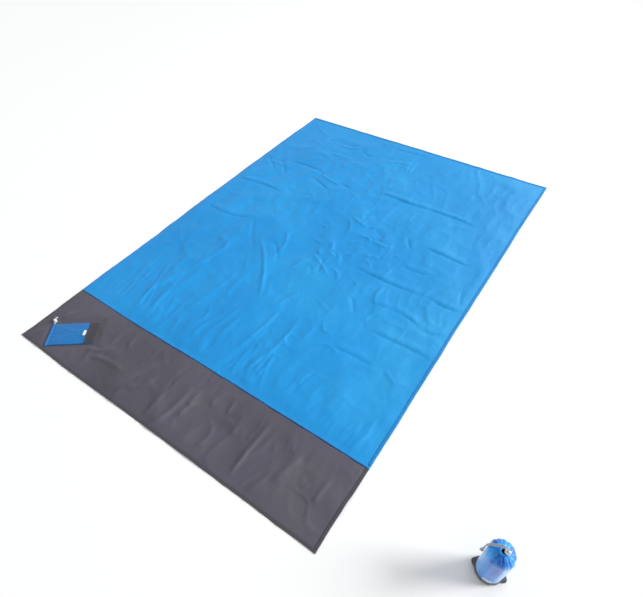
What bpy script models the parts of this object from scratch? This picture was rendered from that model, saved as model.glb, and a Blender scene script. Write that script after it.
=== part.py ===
"""Camp blanket with two small carry bags, laid out on the ground.

The blanket is a blue main panel with a grey end band, sewn together along a cross seam and
hemmed all round. A flat, empty drawstring pouch lies on one corner of the band, and a packed
drawstring bag stands beside the blanket. Metres, +Z up. The origin is the middle of the
blanket's underside, X runs across the blanket and Y along it, with the grey band at -Y.
"""
import math

import bmesh
import bpy
from mathutils import Matrix, Vector

# ---- Driving dimensions (metres) ----
GAP = 0.0003                # clearance left between pieces that touch
CLOTH = 0.0008              # thickness that stands for one layer of cloth

BLANKET_WIDTH = 1.400
BLANKET_LENGTH = 2.000
BAND_DEPTH = 0.290          # grey end band, from the foot edge to the middle of the cross seam
HEM_WIDTH = 0.012
HEM_THICKNESS = 0.0022      # three layers of cloth, folded and sewn
SEAM_WIDTH = 0.012
SEAM_THICKNESS = 0.0020
FOLD_AXIS_HEIGHT = 0.0025   # just above the hems, so that the folded band lies on top of them

CORD_DIAMETER = 0.003
CORD_CLEARANCE = 0.0003     # around a cord in its hole or channel

POUCH_LENGTH = 0.190        # flat pouch, mouth to bottom seam
POUCH_WIDTH = 0.105
POUCH_CROWN = 0.0034        # how far the upper cloth stands up over the lower one
POUCH_HEM_GAPS = (0.0502847, 0.0056870)  # from the left and foot hems to the turned pouch's outline
POUCH_TURN = math.radians(36)
POUCH_BASE_LENGTH = 0.037   # grey end of the flat pouch
POUCH_LABEL_MARGIN = 0.002  # between the label and the grey end
CHANNEL_WIDTH = 0.0090
CHANNEL_HEIGHT = 0.0048
CHANNEL_END_WALL = 0.003
POUCH_LOCK_DISTANCE = 0.0155    # from the pouch's edge to the middle of its cord lock
POUCH_TAIL = 0.0105             # straight cord from the lock's middle towards the knot

BAG_CENTRE = (BLANKET_WIDTH / 2 + 0.405, 0.225 - BLANKET_LENGTH / 2)     # beside the blanket
BAG_RADIUS = 0.035
BAG_NECK_RADIUS = 0.0105    # opening that the drawn cord leaves
BAG_HEIGHT = 0.175          # ground to the neck
SHOULDER_HEIGHT = 0.030     # height of the rounded top
SHOULDER_FULLNESS = 2.6     # 2 is an ellipse, more is squarer
BAG_BASE_HEIGHT = 0.0212    # top of the grey base cloth
BAG_BASE_LIFT = 0.0015      # base cloth over the ground, on its bottom seam
EAR_REACH = 0.009           # how far the bottom corners stand out past the bag's side
CHANNEL_RING_RADIUS = 0.008     # cord's circle round the neck
RING_WALL = 0.0008
RING_HEIGHT = 0.0055
LABEL_WIDTH = 0.025
LABEL_HEIGHT = 0.011
LABEL_CORNER = 0.004
LABEL_THICKNESS = 0.0005
BAG_LABEL_PLACE = (0.003, 0.0325)   # across the bag's front, and over the ground
ROLL_INNER_RADIUS = 0.007
ROLL_LAYER = 0.0056
ROLL_PITCH = 0.0062
ROLL_BOTTOM = 0.008
ROLL_TOP = BAG_HEIGHT - 0.027

LOCK_RADIUS = 0.0056
LOCK_WALL = 0.0011
LOCK_FLOOR = 0.0010
LOCK_WEB = 0.0010           # plunger's wall on each side of its slot
BUTTON_TRAVEL = 0.0020
BUTTON_SHOWING = 0.0026     # how far the button stands out of the barrel at rest
SPRING_LENGTH = 0.0032      # room for the spring behind the plunger at rest
SPRING_WIRE = 0.0005
SPRING_RADIUS = 0.0030
SPRING_TURNS = 3

KNOT_SIZE = (0.010, 0.008, 0.008)
SIDES = 48                  # round the bag
STRAND_OFFSET = CORD_DIAMETER / 2 + GAP / 2     # each strand's distance from the pair's middle
SEAM_Y = BAND_DEPTH - BLANKET_LENGTH / 2
POUCH_REACH = ((POUCH_LENGTH * math.cos(POUCH_TURN) + POUCH_WIDTH * math.sin(POUCH_TURN)) / 2,
               (POUCH_LENGTH * math.sin(POUCH_TURN) + POUCH_WIDTH * math.cos(POUCH_TURN)) / 2)
POUCH_CENTRE = (HEM_WIDTH + POUCH_HEM_GAPS[0] + POUCH_REACH[0] - BLANKET_WIDTH / 2,
                HEM_WIDTH + POUCH_HEM_GAPS[1] + POUCH_REACH[1] - BLANKET_LENGTH / 2)
NECK_TOP = BAG_HEIGHT + GAP + RING_HEIGHT
BAG_LOCK_HEIGHT = NECK_TOP + GAP + LOCK_RADIUS

# The pair of strands leaves the bag's neck: (x from the bag's axis, height over the neck, turn of
# the pair in degrees, where 90 is side by side along Y and 0 is side by side along X).
PAIR_ROUTE = (
    (0.0080, 0.0000, 90), (0.0080, 0.0022, 90), (0.0080, 0.0142, 90), (0.0079, 0.0167, 90),
    (0.0058, 0.0216, 90), (0.0005, 0.0236, 90), (-0.0065, 0.0214, 90), (-0.0140, 0.0142, 90),
    (-0.0225, 0.0037, 90), (-0.0310, -0.0096, 90), (-0.0372, -0.0258, 84), (-0.0388, -0.0398, 60),
    (-0.0392, -0.0528, 35), (-0.0393, -0.0680, 20),
)
ROUTE_BAG_RADIUS = 0.035    # bag radius that the route's outward places are given for

COLOURS = {
    "blue_cloth": ((0.045, 0.30, 0.75), 0.55, 0.0),
    "grey_cloth": ((0.095, 0.090, 0.105), 0.60, 0.0),
    "white_label": ((0.85, 0.87, 0.88), 0.50, 0.0),
    "grey_cord": ((0.30, 0.31, 0.31), 0.75, 0.0),
    "pale_plastic": ((0.80, 0.82, 0.82), 0.35, 0.0),
    "spring_steel": ((0.60, 0.60, 0.60), 0.30, 1.0),
}


# ---- Scene, materials and placing ----
def clear_scene():
    for obj in list(bpy.data.objects):
        bpy.data.objects.remove(obj, do_unlink=True)


def new_collection(name):
    collection = bpy.data.collections.new(name)
    bpy.context.scene.collection.children.link(collection)
    return collection


def make_materials():
    materials = {}
    for name, (colour, roughness, metallic) in COLOURS.items():
        material = bpy.data.materials.new(name)
        material.use_nodes = True
        shader = material.node_tree.nodes["Principled BSDF"]
        shader.inputs["Base Color"].default_value = (*colour, 1.0)
        shader.inputs["Roughness"].default_value = roughness
        shader.inputs["Metallic"].default_value = metallic
        materials[name] = material
    return materials


def move_to(obj, collection):
    for owner in list(obj.users_collection):
        owner.objects.unlink(obj)
    collection.objects.link(obj)


def make_empty(name, matrix, parent=None):
    empty = bpy.data.objects.new(name, None)
    PARTS.objects.link(empty)
    empty.parent = parent
    empty.matrix_local = matrix
    return empty


def finish_piece(obj, name, material, parent=None, smooth=True):
    obj.name = name
    obj.data.materials.clear()
    obj.data.materials.append(MATERIALS[material])
    move_to(obj, PARTS)
    obj.parent = parent
    if smooth and obj.type == "MESH":
        obj.data.shade_smooth()
        obj.data.set_sharp_from_angle(angle=math.radians(35))
    return obj


def make_cutter(obj):
    move_to(obj, CUTTERS)
    obj.hide_render = True
    obj.display_type = "WIRE"
    return obj


# ---- Basic shapes ----
def box_object(low, high):
    """A cube primitive stretched to the box between two corners, with its size in its mesh."""
    size = Vector(high) - Vector(low)
    bpy.ops.mesh.primitive_cube_add(size=1.0)
    obj = bpy.context.object
    obj.data.transform(Matrix.Translation((Vector(high) + Vector(low)) / 2) @ Matrix.Diagonal((*size, 1)))
    return obj


def rod_object(axis, radius, start, end, vertices=24):
    """A cylinder along the X or Y axis between two places on it."""
    bpy.ops.mesh.primitive_cylinder_add(vertices=vertices, radius=radius, depth=end - start)
    obj = bpy.context.object
    middle = Matrix.Translation(Vector(axis) * (start + end) / 2)
    obj.data.transform(middle @ Vector(axis).to_track_quat("Z", "Y").to_matrix().to_4x4())
    return obj


def cut(obj, cutter, operation="DIFFERENCE"):
    modifier = obj.modifiers.new("cut_" + cutter.name, "BOOLEAN")
    modifier.operation = operation
    modifier.object = cutter
    return modifier


def bevel(obj, width, segments=2):
    modifier = obj.modifiers.new("soft_edges", "BEVEL")
    modifier.width = width
    modifier.segments = segments
    modifier.limit_method = "ANGLE"
    modifier.angle_limit = math.radians(50)
    return modifier


def strip(name, low, high, material, parent=None):
    """A flat sewn strip or panel with slightly rounded edges."""
    obj = box_object(low, high)
    return finish_piece(obj, name, material, parent, smooth=False)


def mesh_object(name, bm):
    mesh = bpy.data.meshes.new(name)
    bmesh.ops.recalc_face_normals(bm, faces=bm.faces)
    bm.to_mesh(mesh)
    bm.free()
    return bpy.data.objects.new(name, mesh)


def turned(name, profile, material, parent, thickness=None):
    """A profile of (radius, height) points, top first, turned round the local Z axis."""
    bm = bmesh.new()
    points = [bm.verts.new((radius, 0, height)) for radius, height in profile]
    for above, below in zip(points, points[1:]):
        bm.edges.new((above, below))
    obj = mesh_object(name, bm)
    screw = obj.modifiers.new("turn", "SCREW")
    screw.steps = SIDES
    screw.render_steps = SIDES
    screw.use_merge_vertices = True
    screw.merge_threshold = 0.00001
    if thickness:
        shell = obj.modifiers.new("wall", "SOLIDIFY")
        shell.thickness = thickness
        shell.offset = -1.0
        shell.use_even_offset = True
    return finish_piece(obj, name, material, parent)


def sheet_grid(name, low, high, steps, top, bottom, material, parent):
    """A cloth layer over a rectangle, between two height functions of (x, y)."""
    bm = bmesh.new()
    size = Vector((high[0] - low[0], high[1] - low[1]))
    middle = Vector((high[0] + low[0], high[1] + low[1])) / 2
    bmesh.ops.create_grid(bm, x_segments=steps[0], y_segments=steps[1], size=0.5)
    for vert in bm.verts:
        vert.co.x = middle.x + vert.co.x * size.x
        vert.co.y = middle.y + vert.co.y * size.y
    extruded = bmesh.ops.extrude_face_region(bm, geom=list(bm.faces))
    upper = {item for item in extruded["geom"] if isinstance(item, bmesh.types.BMVert)}
    for vert in bm.verts:
        height = top if vert in upper else bottom
        vert.co.z = height(vert.co.x, vert.co.y)
    return finish_piece(mesh_object(name, bm), name, material, parent)


def smooth_route(points, spacing):
    """Points every `spacing` along a Catmull-Rom curve through the route's own points."""
    route = [Vector(point) for point in points]
    ends = [2 * route[0] - route[1]] + route + [2 * route[-1] - route[-2]]
    dense = []
    for before, start, end, after in zip(ends, ends[1:], ends[2:], ends[3:]):
        for step in range(16):
            t = step / 16
            dense.append(0.5 * (2 * start + (end - before) * t
                                + (2 * before - 5 * start + 4 * end - after) * t * t
                                + (3 * start - before - 3 * end + after) * t ** 3))
    dense.append(route[-1])
    lengths = [0.0]
    for start, end in zip(dense, dense[1:]):
        lengths.append(lengths[-1] + (end - start).length)
    count = max(2, round(lengths[-1] / spacing))
    placed = []
    index = 0
    for number in range(count + 1):
        target = lengths[-1] * number / count
        while index < len(dense) - 2 and lengths[index + 1] < target:
            index += 1
        share = (target - lengths[index]) / (lengths[index + 1] - lengths[index])
        placed.append(dense[index].lerp(dense[index + 1], min(1.0, share)))
    return placed


def tube(name, points, diameter, material, parent, resolution=2):
    curve = bpy.data.curves.new(name, "CURVE")
    curve.dimensions = "3D"
    curve.bevel_depth = diameter / 2
    curve.bevel_resolution = resolution
    curve.use_fill_caps = True
    spline = curve.splines.new("POLY")
    spline.points.add(len(points) - 1)
    for place, point in zip(spline.points, points):
        place.co = (*point, 1.0)
    return finish_piece(bpy.data.objects.new(name, curve), name, material, parent)


def knot(name, place, size, material, parent):
    """A pulled-tight knot: a small cage, pinched round its middle and subdivided."""
    bm = bmesh.new()
    bmesh.ops.create_cube(bm, size=1.0)
    bmesh.ops.subdivide_edges(bm, edges=list(bm.edges), cuts=2, use_grid_fill=True)
    for vert in bm.verts:
        vert.co.normalize()
        pinch = 1.0 - 0.14 * math.exp(-(vert.co.x / 0.35) ** 2)
        vert.co = Vector((vert.co.x * size[0], vert.co.y * size[1] * pinch, vert.co.z * size[2] * pinch)) / 2
    obj = mesh_object(name, bm)
    rounding = obj.modifiers.new("rounding", "SUBSURF")
    rounding.levels = 1
    rounding.render_levels = 1
    obj.location = place
    return finish_piece(obj, name, material, parent)


# ---- Blanket ----
def build_blanket():
    half_width = BLANKET_WIDTH / 2
    half_length = BLANKET_LENGTH / 2
    inner_x = half_width - HEM_WIDTH - GAP
    hem_inside = half_width - HEM_WIDTH
    head_y = half_length - HEM_WIDTH
    seam_far = SEAM_Y + SEAM_WIDTH / 2
    seam_near = SEAM_Y - SEAM_WIDTH / 2

    strip("main_panel", (-inner_x, seam_far + GAP, 0), (inner_x, head_y - GAP, CLOTH), "blue_cloth")
    strip("join_seam", (-half_width, seam_near, 0), (half_width, seam_far, SEAM_THICKNESS), "blue_cloth")
    strip("head_hem", (-half_width, head_y, 0), (half_width, half_length, HEM_THICKNESS), "blue_cloth")
    for name, side in (("left_hem", -1), ("right_hem", 1)):
        near, far = sorted((side * hem_inside, side * half_width))
        strip(name, (near, seam_far + GAP, 0), (far, head_y - GAP, HEM_THICKNESS), "blue_cloth")

    band = make_empty("band_fold_axis", Matrix.Translation((0, seam_near, FOLD_AXIS_HEIGHT)))
    foot_y = -half_length + HEM_WIDTH

    def band_strip(name, low, high):
        lift = Vector((0, -seam_near, -FOLD_AXIS_HEIGHT))
        strip(name, Vector(low) + lift, Vector(high) + lift, "grey_cloth", band)

    band_strip("end_band", (-inner_x, foot_y + GAP, 0), (inner_x, seam_near - GAP, CLOTH))
    band_strip("foot_hem", (-half_width, -half_length, 0), (half_width, foot_y, HEM_THICKNESS))
    for name, side in (("band_left_hem", -1), ("band_right_hem", 1)):
        near, far = sorted((side * hem_inside, side * half_width))
        band_strip(name, (near, foot_y + GAP, 0), (far, seam_near - GAP, HEM_THICKNESS))


# ---- Cord lock, in its own frame: cord along Z, strands side by side along Y, button at -X ----
def build_cord_lock(prefix, parent):
    hole_half = CORD_DIAMETER / 2 + CORD_CLEARANCE
    hole_side = STRAND_OFFSET + hole_half
    slot_out = -hole_half - BUTTON_TRAVEL
    mouth = slot_out - LOCK_WEB
    plunger_end = hole_half + LOCK_WEB
    floor = plunger_end + SPRING_LENGTH
    bore = LOCK_RADIUS - LOCK_WALL
    plunger = bore - GAP

    barrel = rod_object((1, 0, 0), LOCK_RADIUS, mouth, floor + LOCK_FLOOR)
    bore_cutter = make_cutter(rod_object((1, 0, 0), bore, mouth - LOCK_RADIUS, floor))
    hole_cutter = make_cutter(box_object((-hole_half, -hole_side, -2 * LOCK_RADIUS),
                                         (hole_half, hole_side, 2 * LOCK_RADIUS)))
    bevel(barrel, LOCK_WALL / 3)
    cut(barrel, bore_cutter)
    cut(barrel, hole_cutter)
    finish_piece(barrel, prefix + "lock_barrel", "pale_plastic", parent)

    button = rod_object((1, 0, 0), plunger, mouth - BUTTON_SHOWING, plunger_end)
    slot_cutter = make_cutter(box_object((slot_out, -hole_side, -2 * LOCK_RADIUS),
                                         (hole_half, hole_side, 2 * LOCK_RADIUS)))
    bevel(button, LOCK_WALL / 3)
    cut(button, slot_cutter)
    finish_piece(button, prefix + "lock_button", "pale_plastic", parent)

    for cutter in (bore_cutter, hole_cutter, slot_cutter):
        cutter.parent = parent

    room = SPRING_LENGTH - 2 * GAP - SPRING_WIRE
    start = plunger_end + GAP + SPRING_WIRE / 2
    steps = SPRING_TURNS * 12
    coil = []
    for step in range(steps + 1):
        angle = math.tau * SPRING_TURNS * step / steps
        place = start + room * step / steps
        coil.append((place, SPRING_RADIUS * math.cos(angle), SPRING_RADIUS * math.sin(angle)))
    tube(prefix + "lock_spring", coil, SPRING_WIRE, "spring_steel", parent, resolution=1)


# ---- Flat pouch, in its own frame: mouth at -X, grey end at +X ----
def raised_floor(height):
    return lambda x, y: height


def build_pouch():
    set_down = Matrix.Translation((*POUCH_CENTRE, 0)) @ Matrix.Rotation(POUCH_TURN, 4, "Z")
    frame = make_empty("pouch_frame", set_down)
    half_length = POUCH_LENGTH / 2
    half_width = POUCH_WIDTH / 2
    ground = CLOTH + GAP
    seam_strip = 0.004
    channel_end = -half_length + CHANNEL_WIDTH
    base_start = half_length - seam_strip - POUCH_BASE_LENGTH
    base_end = half_length - seam_strip - GAP

    def crown(x, y):
        along = 1 - abs(x / half_length) ** 2.5
        across = 1 - abs(y / half_width) ** 2.5
        return ground + CLOTH + GAP + POUCH_CROWN * along * across

    def floor(x, y):
        return ground

    def raised(amount):
        return lambda x, y: crown(x, y) + amount

    side = half_width - seam_strip - GAP
    sheet_grid("pouch_back", (channel_end + GAP, -side), (base_start - GAP, half_width), (2, 2),
               raised_floor(ground + CLOTH), floor, "blue_cloth", frame)
    sheet_grid("pouch_front", (channel_end + GAP, -side), (base_start - GAP, half_width), (12, 10),
               raised(CLOTH), crown, "blue_cloth", frame)
    sheet_grid("pouch_base", (base_start, -side), (base_end, half_width), (5, 10),
               raised(CLOTH), floor, "grey_cloth", frame)
    strip("pouch_bottom_seam", (base_end + GAP, -half_width, ground),
          (half_length, half_width, ground + SEAM_THICKNESS), "grey_cloth", frame)
    strip("pouch_side_seam", (channel_end + GAP, -half_width, ground),
          (base_end, -side - GAP, ground + SEAM_THICKNESS), "blue_cloth", frame)

    label_right = base_start - POUCH_LABEL_MARGIN
    sheet_grid("pouch_label", (label_right - LABEL_HEIGHT, -LABEL_WIDTH / 2),
               (label_right, LABEL_WIDTH / 2), (3, 6),
               raised(CLOTH + GAP + LABEL_THICKNESS), raised(CLOTH + GAP), "white_label", frame)

    build_pouch_mouth(frame, ground, half_length, half_width)


def build_pouch_mouth(frame, ground, half_length, half_width):
    """The hem round the mouth, the cord folded inside it, its lock and its knot."""
    middle = -half_length + CHANNEL_WIDTH / 2
    cord_height = ground + CHANNEL_HEIGHT / 2
    hole_half = CORD_DIAMETER / 2 + CORD_CLEARANCE
    hole_side = STRAND_OFFSET + hole_half
    channel = box_object((-half_length, -half_width, ground),
                         (-half_length + CHANNEL_WIDTH, half_width, ground + CHANNEL_HEIGHT))
    bevel(channel, CHANNEL_HEIGHT / 6)
    closed_end = -half_width + CHANNEL_END_WALL
    hollow = make_cutter(box_object((middle - hole_side, closed_end, cord_height - hole_half),
                                    (middle + hole_side, half_width * 1.5, cord_height + hole_half)))
    hollow.parent = frame
    cut(channel, hollow)
    finish_piece(channel, "pouch_channel", "blue_cloth", frame)

    lock_y = half_width + POUCH_LOCK_DISTANCE
    hole_to_closed_end = hole_half + LOCK_WEB + SPRING_LENGTH + LOCK_FLOOR
    lock_z = ground + hole_to_closed_end
    lift = lock_z - cord_height
    rise_start = half_width + 0.002
    rise_end = lock_y - LOCK_RADIUS - 2 * GAP
    tail_end = lock_y + POUCH_TAIL
    turn_y = closed_end + hole_half + STRAND_OFFSET
    straight_start = turn_y + 0.001
    straight_steps = 20
    straight_step = (rise_start - straight_start) / straight_steps
    one_side = [(STRAND_OFFSET, straight_start + straight_step * step, cord_height)
                for step in range(straight_steps + 1)]
    one_side += [(STRAND_OFFSET, (rise_start + rise_end) / 2, cord_height + lift / 2),
                 (STRAND_OFFSET, rise_end, lock_z), (STRAND_OFFSET, lock_y, lock_z),
                 (STRAND_OFFSET, tail_end, lock_z)]
    turn = [(STRAND_OFFSET * math.cos(angle), turn_y - STRAND_OFFSET * math.sin(angle), cord_height)
            for angle in (math.tau * step / 16 for step in range(1, 8))]
    other_side = [(-x, y, z) for x, y, z in one_side]
    route = [(middle + x, y, z) for x, y, z in list(reversed(one_side)) + turn + other_side]
    tube("pouch_cord", smooth_route(route, CORD_DIAMETER * 1.2), CORD_DIAMETER, "grey_cord", frame)
    knot("pouch_knot", (middle, tail_end + GAP + KNOT_SIZE[1] / 2, lock_z), KNOT_SIZE, "grey_cord", frame)

    across = Matrix(((0, -1, 0), (0, 0, 1), (-1, 0, 0))).to_4x4()
    lock = make_empty("pouch_lock_frame", Matrix.Translation((middle, lock_y, lock_z)) @ across, frame)
    build_cord_lock("pouch_", lock)


# ---- Packed bag, in its own frame: its axis is Z, its front is -Y ----
def shoulder_profile():
    """Bag's outer profile, neck first: a rounded top and then the straight side."""
    steps = 14
    rise = SHOULDER_HEIGHT
    reach = BAG_RADIUS - BAG_NECK_RADIUS
    power = 2 / SHOULDER_FULLNESS
    points = []
    for step in range(steps + 1):
        angle = math.pi / 2 * (1 - step / steps)
        points.append((BAG_NECK_RADIUS + reach * math.cos(angle) ** power,
                       BAG_HEIGHT - rise + rise * math.sin(angle) ** power))
    points.append((BAG_RADIUS, (BAG_HEIGHT - rise + BAG_BASE_HEIGHT) / 2))
    points.append((BAG_RADIUS, BAG_BASE_HEIGHT + GAP))
    return points


def build_base(parent):
    """The grey base: a loft from the round side to an outline with two pinched corners."""
    height = BAG_BASE_HEIGHT
    sections = ((height, BAG_RADIUS, 0.0), (height * 0.8, BAG_RADIUS, 0.10),
                (height * 0.52, BAG_RADIUS, 0.50), (height * 0.30, BAG_RADIUS, 1.0),
                (height * 0.13, BAG_RADIUS * 0.98, 0.85), (BAG_BASE_LIFT, BAG_RADIUS * 0.90, 0.45))
    bm = bmesh.new()
    rings = []
    for level, radius, ear in sections:
        ring = []
        for side in range(SIDES):
            angle = math.tau * side / SIDES
            reach = radius + EAR_REACH * ear * abs(math.cos(angle)) ** 8
            ring.append(bm.verts.new((reach * math.cos(angle), radius * math.sin(angle), level)))
        rings.append(ring)
    for upper, lower in zip(rings, rings[1:]):
        for side in range(SIDES):
            after = (side + 1) % SIDES
            bm.faces.new((upper[side], lower[side], lower[after], upper[after]))
    bm.faces.new(rings[-1])
    obj = mesh_object("bag_base", bm)
    wall = obj.modifiers.new("wall", "SOLIDIFY")
    wall.thickness = CLOTH
    wall.offset = -1.0
    finish_piece(obj, "bag_base", "grey_cloth", parent)


def build_roll(parent):
    """The folded blanket rolled up inside: a spiral sheet with the layers' full thickness."""
    outer = BAG_RADIUS - CLOTH - 2 * GAP - ROLL_LAYER / 2
    turns = (outer - ROLL_INNER_RADIUS) / ROLL_PITCH
    steps = round(turns * 24)
    bm = bmesh.new()
    rows = []
    for level in (ROLL_BOTTOM, ROLL_TOP):
        row = []
        for step in range(steps + 1):
            angle = math.tau * turns * step / steps
            radius = ROLL_INNER_RADIUS + ROLL_PITCH * turns * step / steps
            row.append(bm.verts.new((radius * math.cos(angle), radius * math.sin(angle), level)))
        rows.append(row)
    for step in range(steps):
        bm.faces.new((rows[0][step], rows[0][step + 1], rows[1][step + 1], rows[1][step]))
    obj = mesh_object("packed_roll", bm)
    layer = obj.modifiers.new("layers", "SOLIDIFY")
    layer.thickness = ROLL_LAYER
    layer.offset = 0.0
    finish_piece(obj, "packed_roll", "blue_cloth", parent)


def build_bag_label(parent):
    """A rounded label bent round the bag's front."""
    inner = BAG_RADIUS + GAP
    centre_x, centre_z = BAG_LABEL_PLACE
    curve = bpy.data.curves.new("label_outline", "CURVE")
    curve.dimensions = "2D"
    curve.fill_mode = "BOTH"
    curve.extrude = BAG_RADIUS / 2
    outline = []
    for corner, (sign_x, sign_y) in enumerate(((1, 1), (-1, 1), (-1, -1), (1, -1))):
        for step in range(5):
            angle = math.pi / 2 * (corner + step / 4)
            outline.append((sign_x * (LABEL_WIDTH / 2 - LABEL_CORNER) + LABEL_CORNER * math.cos(angle),
                            sign_y * (LABEL_HEIGHT / 2 - LABEL_CORNER) + LABEL_CORNER * math.sin(angle)))
    spline = curve.splines.new("POLY")
    spline.points.add(len(outline) - 1)
    spline.use_cyclic_u = True
    for place, point in zip(spline.points, outline):
        place.co = (*point, 0, 1)
    flat = bpy.data.objects.new("label_outline", curve)
    PARTS.objects.link(flat)
    bpy.context.view_layer.update()
    mesh = bpy.data.meshes.new_from_object(flat.evaluated_get(bpy.context.evaluated_depsgraph_get()))
    bpy.data.objects.remove(flat, do_unlink=True)
    bm = bmesh.new()
    bm.from_mesh(mesh)
    bmesh.ops.remove_doubles(bm, verts=bm.verts, dist=0.00001)
    bmesh.ops.recalc_face_normals(bm, faces=bm.faces)
    bm.to_mesh(mesh)
    bm.free()
    upright = Matrix.Translation((centre_x, -BAG_RADIUS, centre_z)) @ Matrix.Rotation(math.pi / 2, 4, "X")
    mesh.transform(upright)
    outline_cutter = make_cutter(bpy.data.objects.new("label_cutter", mesh))
    outline_cutter.parent = parent

    outer = inner + LABEL_THICKNESS
    over, under = centre_z + LABEL_HEIGHT, centre_z - LABEL_HEIGHT
    profile = ((outer, over), (outer, under), (inner, under), (inner, over), (outer, over))
    label = turned("bag_label", profile, "white_label", parent)
    cut(label, outline_cutter, "INTERSECT")


def build_neck(parent):
    """The gathered channel: a round gutter that the cord lies in, open at its top."""
    inner = CHANNEL_RING_RADIUS - CORD_DIAMETER / 2 - CORD_CLEARANCE - RING_WALL
    outer = CHANNEL_RING_RADIUS + CORD_DIAMETER / 2 + CORD_CLEARANCE + RING_WALL
    bottom = BAG_HEIGHT + GAP
    top = bottom + RING_HEIGHT
    profile = ((inner + RING_WALL, top), (inner, top), (inner, bottom), (outer, bottom), (outer, top),
               (outer - RING_WALL, top), (outer - RING_WALL, bottom + RING_WALL),
               (inner + RING_WALL, bottom + RING_WALL), (inner + RING_WALL, top))
    turned("bag_channel", tuple(reversed(profile)), "blue_cloth", parent)


def pair_places():
    """The middle of the pair and its turn at each of the route's places, fitted to the bag."""
    outward = BAG_RADIUS / ROUTE_BAG_RADIUS
    return [(x * outward if x < 0 else x, NECK_TOP + height, math.radians(turn))
            for x, height, turn in PAIR_ROUTE]


def strand_route(side):
    """One strand from the neck to the knot; side is -1 or +1."""
    return [(x + side * STRAND_OFFSET * math.cos(angle), side * STRAND_OFFSET * math.sin(angle), z)
            for x, z, angle in pair_places()]


def build_drawstring(parent):
    """One cord: from the knot up one strand, round the neck and back down the other strand."""
    ring_height = BAG_HEIGHT + GAP + RING_WALL + CORD_CLEARANCE + CORD_DIAMETER / 2
    ring = []
    radius = CHANNEL_RING_RADIUS
    for degrees in (26, *range(50, 311, 26), 334):
        angle = math.radians(degrees)
        ring.append((radius * math.cos(angle), radius * math.sin(angle), ring_height))
    route = list(reversed(strand_route(1))) + ring + strand_route(-1)
    tube("drawstring", smooth_route(route, CORD_DIAMETER * 1.7), CORD_DIAMETER, "grey_cord", parent)
    end_x, end_z, _ = pair_places()[-1]
    knot_x = -(BAG_RADIUS + 2 * GAP + KNOT_SIZE[0] / 2)
    place = (min(end_x, knot_x), 0, end_z - GAP - KNOT_SIZE[2] / 2)
    knot("drawstring_knot", place, KNOT_SIZE, "grey_cord", parent)


def build_bag():
    frame = make_empty("bag_frame", Matrix.Translation((*BAG_CENTRE, 0)))
    turned("bag_shell", shoulder_profile(), "blue_cloth", frame, thickness=CLOTH)
    build_base(frame)
    build_neck(frame)
    build_roll(frame)
    build_bag_label(frame)
    ear = BAG_RADIUS + EAR_REACH * 0.6
    strip("bag_bottom_seam", (-ear, -0.002, 0), (ear, 0.002, BAG_BASE_LIFT - GAP), "grey_cloth", frame)
    seam_side = BAG_RADIUS + GAP
    strip("bag_side_seam", (-0.0025, seam_side, BAG_BASE_HEIGHT + GAP),
          (0.0025, seam_side + CLOTH, BAG_HEIGHT - SHOULDER_HEIGHT), "blue_cloth", frame)
    build_drawstring(frame)
    lock = make_empty("bag_lock_frame", Matrix.Translation((CHANNEL_RING_RADIUS, 0, BAG_LOCK_HEIGHT)), frame)
    build_cord_lock("bag_", lock)


clear_scene()
PARTS = new_collection("camp_blanket")
CUTTERS = new_collection("cutters")
MATERIALS = make_materials()
build_blanket()
build_pouch()
build_bag()
bpy.context.view_layer.update()
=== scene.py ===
# %% [markdown]
# # A camp blanket with its two carry bags
#
# The blanket is one thin sheet of coated nylon: a sky-blue main panel with a charcoal band sewn to
# one end, hemmed all round, lying on the ground with the creases of its packing still in it. A flat,
# empty drawstring pouch lies on one corner of the band, and a packed bag stands beside the blanket.
#
# The solid model of the sizes and joints is loaded first and is never moved. Everything made here is
# laid over it, in metres, with +Z up, and most of it rides on one of its bodies.

# %% Open the frame
import math

import bmesh
import bpy
import numpy as np
from mathutils import Matrix, Vector


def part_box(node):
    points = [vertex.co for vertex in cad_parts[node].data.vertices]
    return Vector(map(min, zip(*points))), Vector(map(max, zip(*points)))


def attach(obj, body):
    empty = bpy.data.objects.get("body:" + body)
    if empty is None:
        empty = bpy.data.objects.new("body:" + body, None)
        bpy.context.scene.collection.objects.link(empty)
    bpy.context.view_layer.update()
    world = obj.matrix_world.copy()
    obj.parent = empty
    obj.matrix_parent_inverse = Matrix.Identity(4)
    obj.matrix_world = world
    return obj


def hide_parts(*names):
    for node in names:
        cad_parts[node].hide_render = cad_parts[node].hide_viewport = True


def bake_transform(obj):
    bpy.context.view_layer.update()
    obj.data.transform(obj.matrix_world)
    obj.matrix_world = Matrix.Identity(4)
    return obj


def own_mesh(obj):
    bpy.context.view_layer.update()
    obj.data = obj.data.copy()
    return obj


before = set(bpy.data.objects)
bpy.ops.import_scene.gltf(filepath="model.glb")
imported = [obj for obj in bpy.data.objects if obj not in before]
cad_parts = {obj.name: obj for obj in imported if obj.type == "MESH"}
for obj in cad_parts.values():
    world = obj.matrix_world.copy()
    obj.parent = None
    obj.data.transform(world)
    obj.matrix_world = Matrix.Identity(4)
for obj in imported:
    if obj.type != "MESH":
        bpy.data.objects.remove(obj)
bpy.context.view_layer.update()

# %% [markdown]
# ## Sizes that come from the frame
#
# The blanket's outline, its hems and its cross seam are read from the solids, so the cloth lands on
# them without fitting. The bag's axis is the middle of its shell, and the pouch has a frame of its
# own: it lies turned on the grey band, with its mouth to one side and its grey end to the other.

# %% Read the blanket, the pouch and the bag
LEFT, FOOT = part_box("foot_hem")[0][:2]
RIGHT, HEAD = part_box("head_hem")[1][:2]
SEAM_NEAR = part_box("join_seam")[0][1]
SEAM_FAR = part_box("join_seam")[1][1]
SEAM_MIDDLE = (SEAM_NEAR + SEAM_FAR) / 2
HEM_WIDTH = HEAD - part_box("head_hem")[0][1]

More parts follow.
